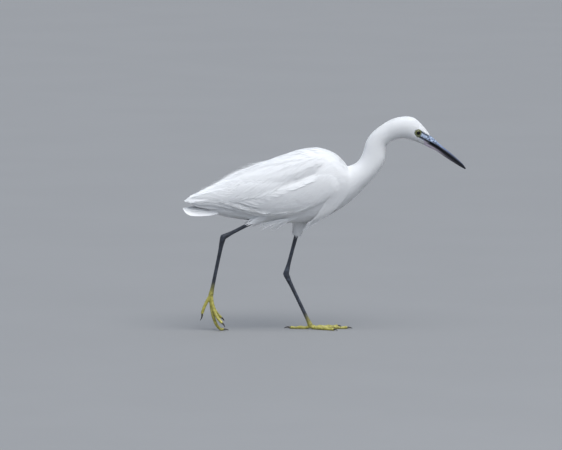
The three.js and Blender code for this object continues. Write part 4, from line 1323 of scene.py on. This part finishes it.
for i in range(46):
    # flank: fluff that ends in one pointed tuft
    u = r.random()
    start = np.array([-38 - 34 * u, -18 - 8 * r.random(), 199 - 6 * u])
    tip = np.array([-88 + r.normal(0, 2.2), -15 + r.normal(0, 2.2), 172.5 + abs(r.normal(0, 3.2))])
    if i % 3:
        tip = start + np.array([-34 - 10 * r.random(), 3 + r.normal(0, 2), -13 + r.normal(0, 3.0)])
    mid = start * 0.5 + tip * 0.5 + np.array([-2.0, -1.5, 0.5])
    strand(coat, [tuple(start), tuple(mid), tuple(tip)], r.uniform(0.6, 1.1), 0.14, (0.1, -1.0, -0.3), k=9, seed=400 + i, tone=(0.4, 1.0))
for i in range(46):
    u = r.random()
    start = np.array([-38 - 34 * u, 18 + 8 * r.random(), 199 - 6 * u])
    tip = start + np.array([-36 - 10 * r.random(), -3 + r.normal(0, 2), -14 + r.normal(0, 3.0)])
    mid = start * 0.5 + tip * 0.5 + np.array([-2.0, 1.5, 0.5])
    strand(coat, [tuple(start), tuple(mid), tuple(tip)], r.uniform(0.6, 1.1), 0.14, (0.1, 1.0, -0.3), k=9, seed=450 + i, tone=(0.4, 1.0))
coat.build("plumes_breast", PLUME)

# ------------------------------------------------------------------------------- bill
def bill(name, rows, upper, mat, node_name):
    rows = smooth(rows, 16)
    keep = rows[:, 0] > (176 if upper else 171)
    rows = rows[keep]
    n = 40
    a = np.arange(n) * TAU / n
    rings, along_v, ridge_pale_and_highlight_v, edge_v = [], [], [], []
    span = np.linspace(0, 1, len(rows))
    for r, s in zip(rows, span):
        top, bottom = np.array([r[0], 0, r[1]]), np.array([r[2], 0, r[3]])
        if not upper:  # the halves meet: no daylight in the gape
            top = top + unit((top - bottom)[None])[0] * 0.62
        mid, up = (top + bottom) / 2, (top - bottom) / 2
        c, sn = np.cos(a), np.sin(a)
        if upper:  # arched above, nearly flat below, with cutting edges just proud
            y = np.sign(sn) * np.abs(sn) ** 0.8 * np.where(c > 0, 1 - 0.30 * c.clip(0) ** 1.5, 1.0)
            z = np.where(c > 0, np.sign(c) * np.abs(c) ** 0.9, np.sign(c) * np.abs(c) ** 0.55)
        else:
            y = np.sign(sn) * np.abs(sn) ** 0.8 * np.where(c < 0, 1 - 0.34 * (-c).clip(0) ** 1.5, 1.0)
            z = np.where(c < 0, np.sign(c) * np.abs(c) ** 0.9, np.sign(c) * np.abs(c) ** 0.55)
        groove = 0.0
        if upper:  # groove from the nostril along the side
            depth = np.interp(s, [0, 0.08, 0.35, 0.55, 1], [0.0, 0.16, 0.14, 0.05, 0.0])
            groove = depth * np.exp(-(((c - 0.28) / 0.2) ** 2))
        w = (r[4] if upper else r[4] * (0.97 - 0.07 * c)) * (1 - groove)
        rings.append(mid + np.outer(z, up) + np.stack([0 * y, y * w, 0 * y], -1))
        along_v.append(np.full(n, s))
        line = np.interp(s, [0, 0.14, 0.3, 0.6, 1.0], [-0.75, -0.35, 0.0, 0.28, 0.35])
        # ridge mask for the pale base colour and the painted culmen highlight on top of the upper mandible
        ridge_pale_and_highlight_v.append(np.clip((c - line) / 0.22, 0, 1) if upper else np.zeros(n))
        edge_v.append(np.clip((-c - np.interp(s, [0, 0.15], [0.7, 0.05])) * 2.2, 0, 1) if upper else np.clip((c + 0.15 + 0.25 * s) * 2.6, 0, 1))
    V, F = loft(rings)
    flat = lambda x, e0, e1: np.concatenate([np.concatenate(x), [e0, e1]])
    me = mesh_from(name, V, F, None, {"along": flat(along_v, 0, 1), "ridge_pale_and_highlight": flat(ridge_pale_and_highlight_v, 0, 0), "edge": flat(edge_v, 0, 0)})
    o = object_from(name, me, [mat])
    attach(o, "root")
    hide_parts(node_name)
    return o


bill("bill_upper_horn", BILL_UPPER, True, HORN_UPPER, "bill_upper")
bill("bill_lower_horn", BILL_LOWER, False, HORN_LOWER, "bill_lower")

# nostrils: a slit with a raised lip on each side
V_all = []
for s in (1, -1):
    base, tip = np.array([188.2, s * 5.0, 326.6]), np.array([194.6, s * 4.35, 321.4])
    t = np.linspace(0, 1, 12)[:, None]
    line = base + (tip - base) * t
    V_all.append(tube(line, 0.15 + 0.42 * np.sin(math.pi * t[:, 0]) ** 0.6, 10))
V, F = joined(V_all)
me = mesh_from("nostrils", V, F, None, {"along": np.full(len(V), 1.0)})
o = object_from("nostrils", me, [CLAW])
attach(o, "root")

# ------------------------------------------------------------------------------- eyes
for name, s in (("left", 1), ("right", -1)):
    axis = unit(np.array([0.20, s * 1.0, -0.10]))
    e1 = unit(np.cross([0, 0, 1.0], axis))
    e2 = np.cross(axis, e1)
    centre = np.array([EYE["x"], s * EYE["y"], EYE["z"]])
    polar = np.radians(np.concatenate([np.linspace(1.2, 29.8, 9), [31.2], np.linspace(33, 52, 8), np.linspace(56, 178, 14)]))
    n = 48
    a = np.arange(n) * TAU / n
    rad = EYE["r"] * (1 - 0.0 * polar)
    bulge = 0.35 * np.exp(-((polar / math.radians(34)) ** 2))
    rings = np.array([centre + (EYE["r"] - 0.12 + b) * (math.cos(g) * axis + math.sin(g) * (np.cos(a)[:, None] * e1 + np.sin(a)[:, None] * e2)) for g, b in zip(polar, bulge)])
    V, F = loft(rings)
    which = np.repeat(np.arange(len(polar)), n)
    which = np.concatenate([which, [0, len(polar) - 1]])
    deg = np.degrees(polar)[which]
    face_deg = deg[F].max(1)
    slots = np.where(face_deg < 31.5, 1, 0)
    rim = np.clip((deg - 44) / 7, 0, 1) + np.clip((35.0 - deg) / 3.5, 0, 1) * 0.7
    ringuv = np.stack([np.cos(np.concatenate([np.tile(a, len(polar)), [0, 0]])) * 3, np.sin(np.concatenate([np.tile(a, len(polar)), [0, 0]])) * 3], -1)
    me = mesh_from("eyeball_" + name, V, F, {"Ring": ringuv}, {"rim": np.clip(rim, 0, 1)}, slots)
    o = object_from("eyeball_" + name, me, [IRIS, PUPIL])
    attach(o, "root"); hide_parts("eye_" + name)

# ------------------------------------------------------------------------------- claws
for name, leg in LEG.items():
    for toe, t in leg["toes"].items():
        a, b = t["claw"]
        way = b - a
        k = 22
        u = np.linspace(-0.12, 1, k)
        arch = 0.9 if toe != "hind" else 1.3
        up = np.array([0, 0, 1.0]) - unit(way[None])[0] * unit(way[None])[0][2]
        if name == "right" and toe != "middle":
            up = unit(np.cross(np.cross(way, [1.0, 0, 0.25]), way)[None])[0]
        line = a + way * u[:, None] + np.outer(arch * np.sin(math.pi * np.clip(u, 0, 1)) ** 0.8, up)
        rad = np.interp(u, [-0.12, 0, 0.25, 0.6, 0.9, 1.0], [1.35, 1.7, 1.5, 1.0, 0.5, 0.28])
        V, F = tube(line, rad, 14, domed=True)
        V[:, 2] = np.maximum(V[:, 2], 0.02)
        ids = np.concatenate([np.repeat(np.concatenate([[0, 0], np.clip(u, 0, 1), [1, 1]]), 14), [0, 1]])
        me = mesh_from("claw_%s_%s_horn" % (toe, name), V, F, None, {"along": ids})
        o = object_from("claw_%s_%s_horn" % (toe, name), me, [CLAW])
        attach(o, "root"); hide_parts("claw_%s_%s" % (toe, name))

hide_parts("neck_lower", "neck_upper", "head", *[n for n in NODES if n.startswith(("shin", "tarsus", "toe_", "plume_"))])

# ------------------------------------------------------------------------------- stage
FLOOR, nt, p = material("floor")
base = mix_colour(nt, ramp(nt, noise(nt, 3, 3), [(0.4, 0.0), (0.6, 1.0)]), (0.216, 0.218, 0.221), (0.220, 0.222, 0.225))
nt.links.new(base, p.inputs["Base Color"])
p.inputs["Roughness"].default_value = 0.8
me = bpy.data.meshes.new("floor")
n = 96
rims = [(14.0, 0.0), (15.0, 0.12), (15.8, 0.45), (16.4, 0.95), (16.8, 1.6), (17.0, 2.4), (17.05, 3.4)]
points = [(R * math.cos(i * TAU / n), R * math.sin(i * TAU / n), h) for R, h in rims for i in range(n)]
faces = [list(range(n))]
for k in range(len(rims) - 1):
    faces += [[k * n + (i + 1) % n, k * n + i, (k + 1) * n + i, (k + 1) * n + (i + 1) % n][::-1] for i in range(n)]
me.from_pydata(points, [], faces)
floor = bpy.data.objects.new("floor", me)
bpy.context.scene.collection.objects.link(floor)
me.materials.append(FLOOR)

world = bpy.data.worlds.new("world")
bpy.context.scene.world = world
world.use_nodes = True
world.node_tree.nodes["Background"].inputs[0].default_value = (0.60, 0.68, 0.81, 1)
world.node_tree.nodes["Background"].inputs[1].default_value = 0.97


def lamp(name, kind, loc, target, energy, size, colour=(1, 1, 1)):
    l = bpy.data.lights.new(name, kind)
    l.energy, l.color = energy, colour
    if kind == "AREA":
        l.shape, l.size = "DISK", size
    else:
        l.angle = size
    o = bpy.data.objects.new(name, l)
    o.location = loc
    o.rotation_mode = "QUATERNION"
    o.rotation_quaternion = (Vector(target) - Vector(loc)).to_track_quat("-Z", "Y")
    bpy.context.scene.collection.objects.link(o)


lamp("sky_soft", "SUN", (0.6, -1.2, 3.0), (0, 0, 0.2), 2.85, math.radians(50), (1.0, 0.985, 0.96))
lamp("side_soft", "AREA", (1.6, -2.2, 1.5), (0, 0, 0.25), 10.0, 1.6, (0.96, 0.98, 1.0))

# camera: level look at the right side, a little above, from far off with a long lens
MMPX = 1.72
dist, lens = 12.0, 36.0 * 12.0 / (562 * MMPX * 0.001)
el = math.radians(6.0)
# the point seen in the middle of the frame, in the bird's middle plane
cx, cz = (281 - 323.65) * MMPX - SHIFT, (330.4 - 225) * MMPX
target = Vector((cx * 0.001, 0, cz * 0.001))
cam = bpy.data.cameras.new("camera")
cam.lens, cam.sensor_width = lens, 36.0
cam.clip_start, cam.clip_end = 0.1, 200
cam_obj = bpy.data.objects.new("camera", cam)
cam_obj.location = target + Vector((0, -math.cos(el) * dist, math.sin(el) * dist))
cam_obj.rotation_mode = "QUATERNION"
cam_obj.rotation_quaternion = (target - cam_obj.location).to_track_quat("-Z", "Y")
bpy.context.scene.collection.objects.link(cam_obj)
bpy.context.scene.camera = cam_obj
bpy.context.scene.view_settings.view_transform = "Standard"
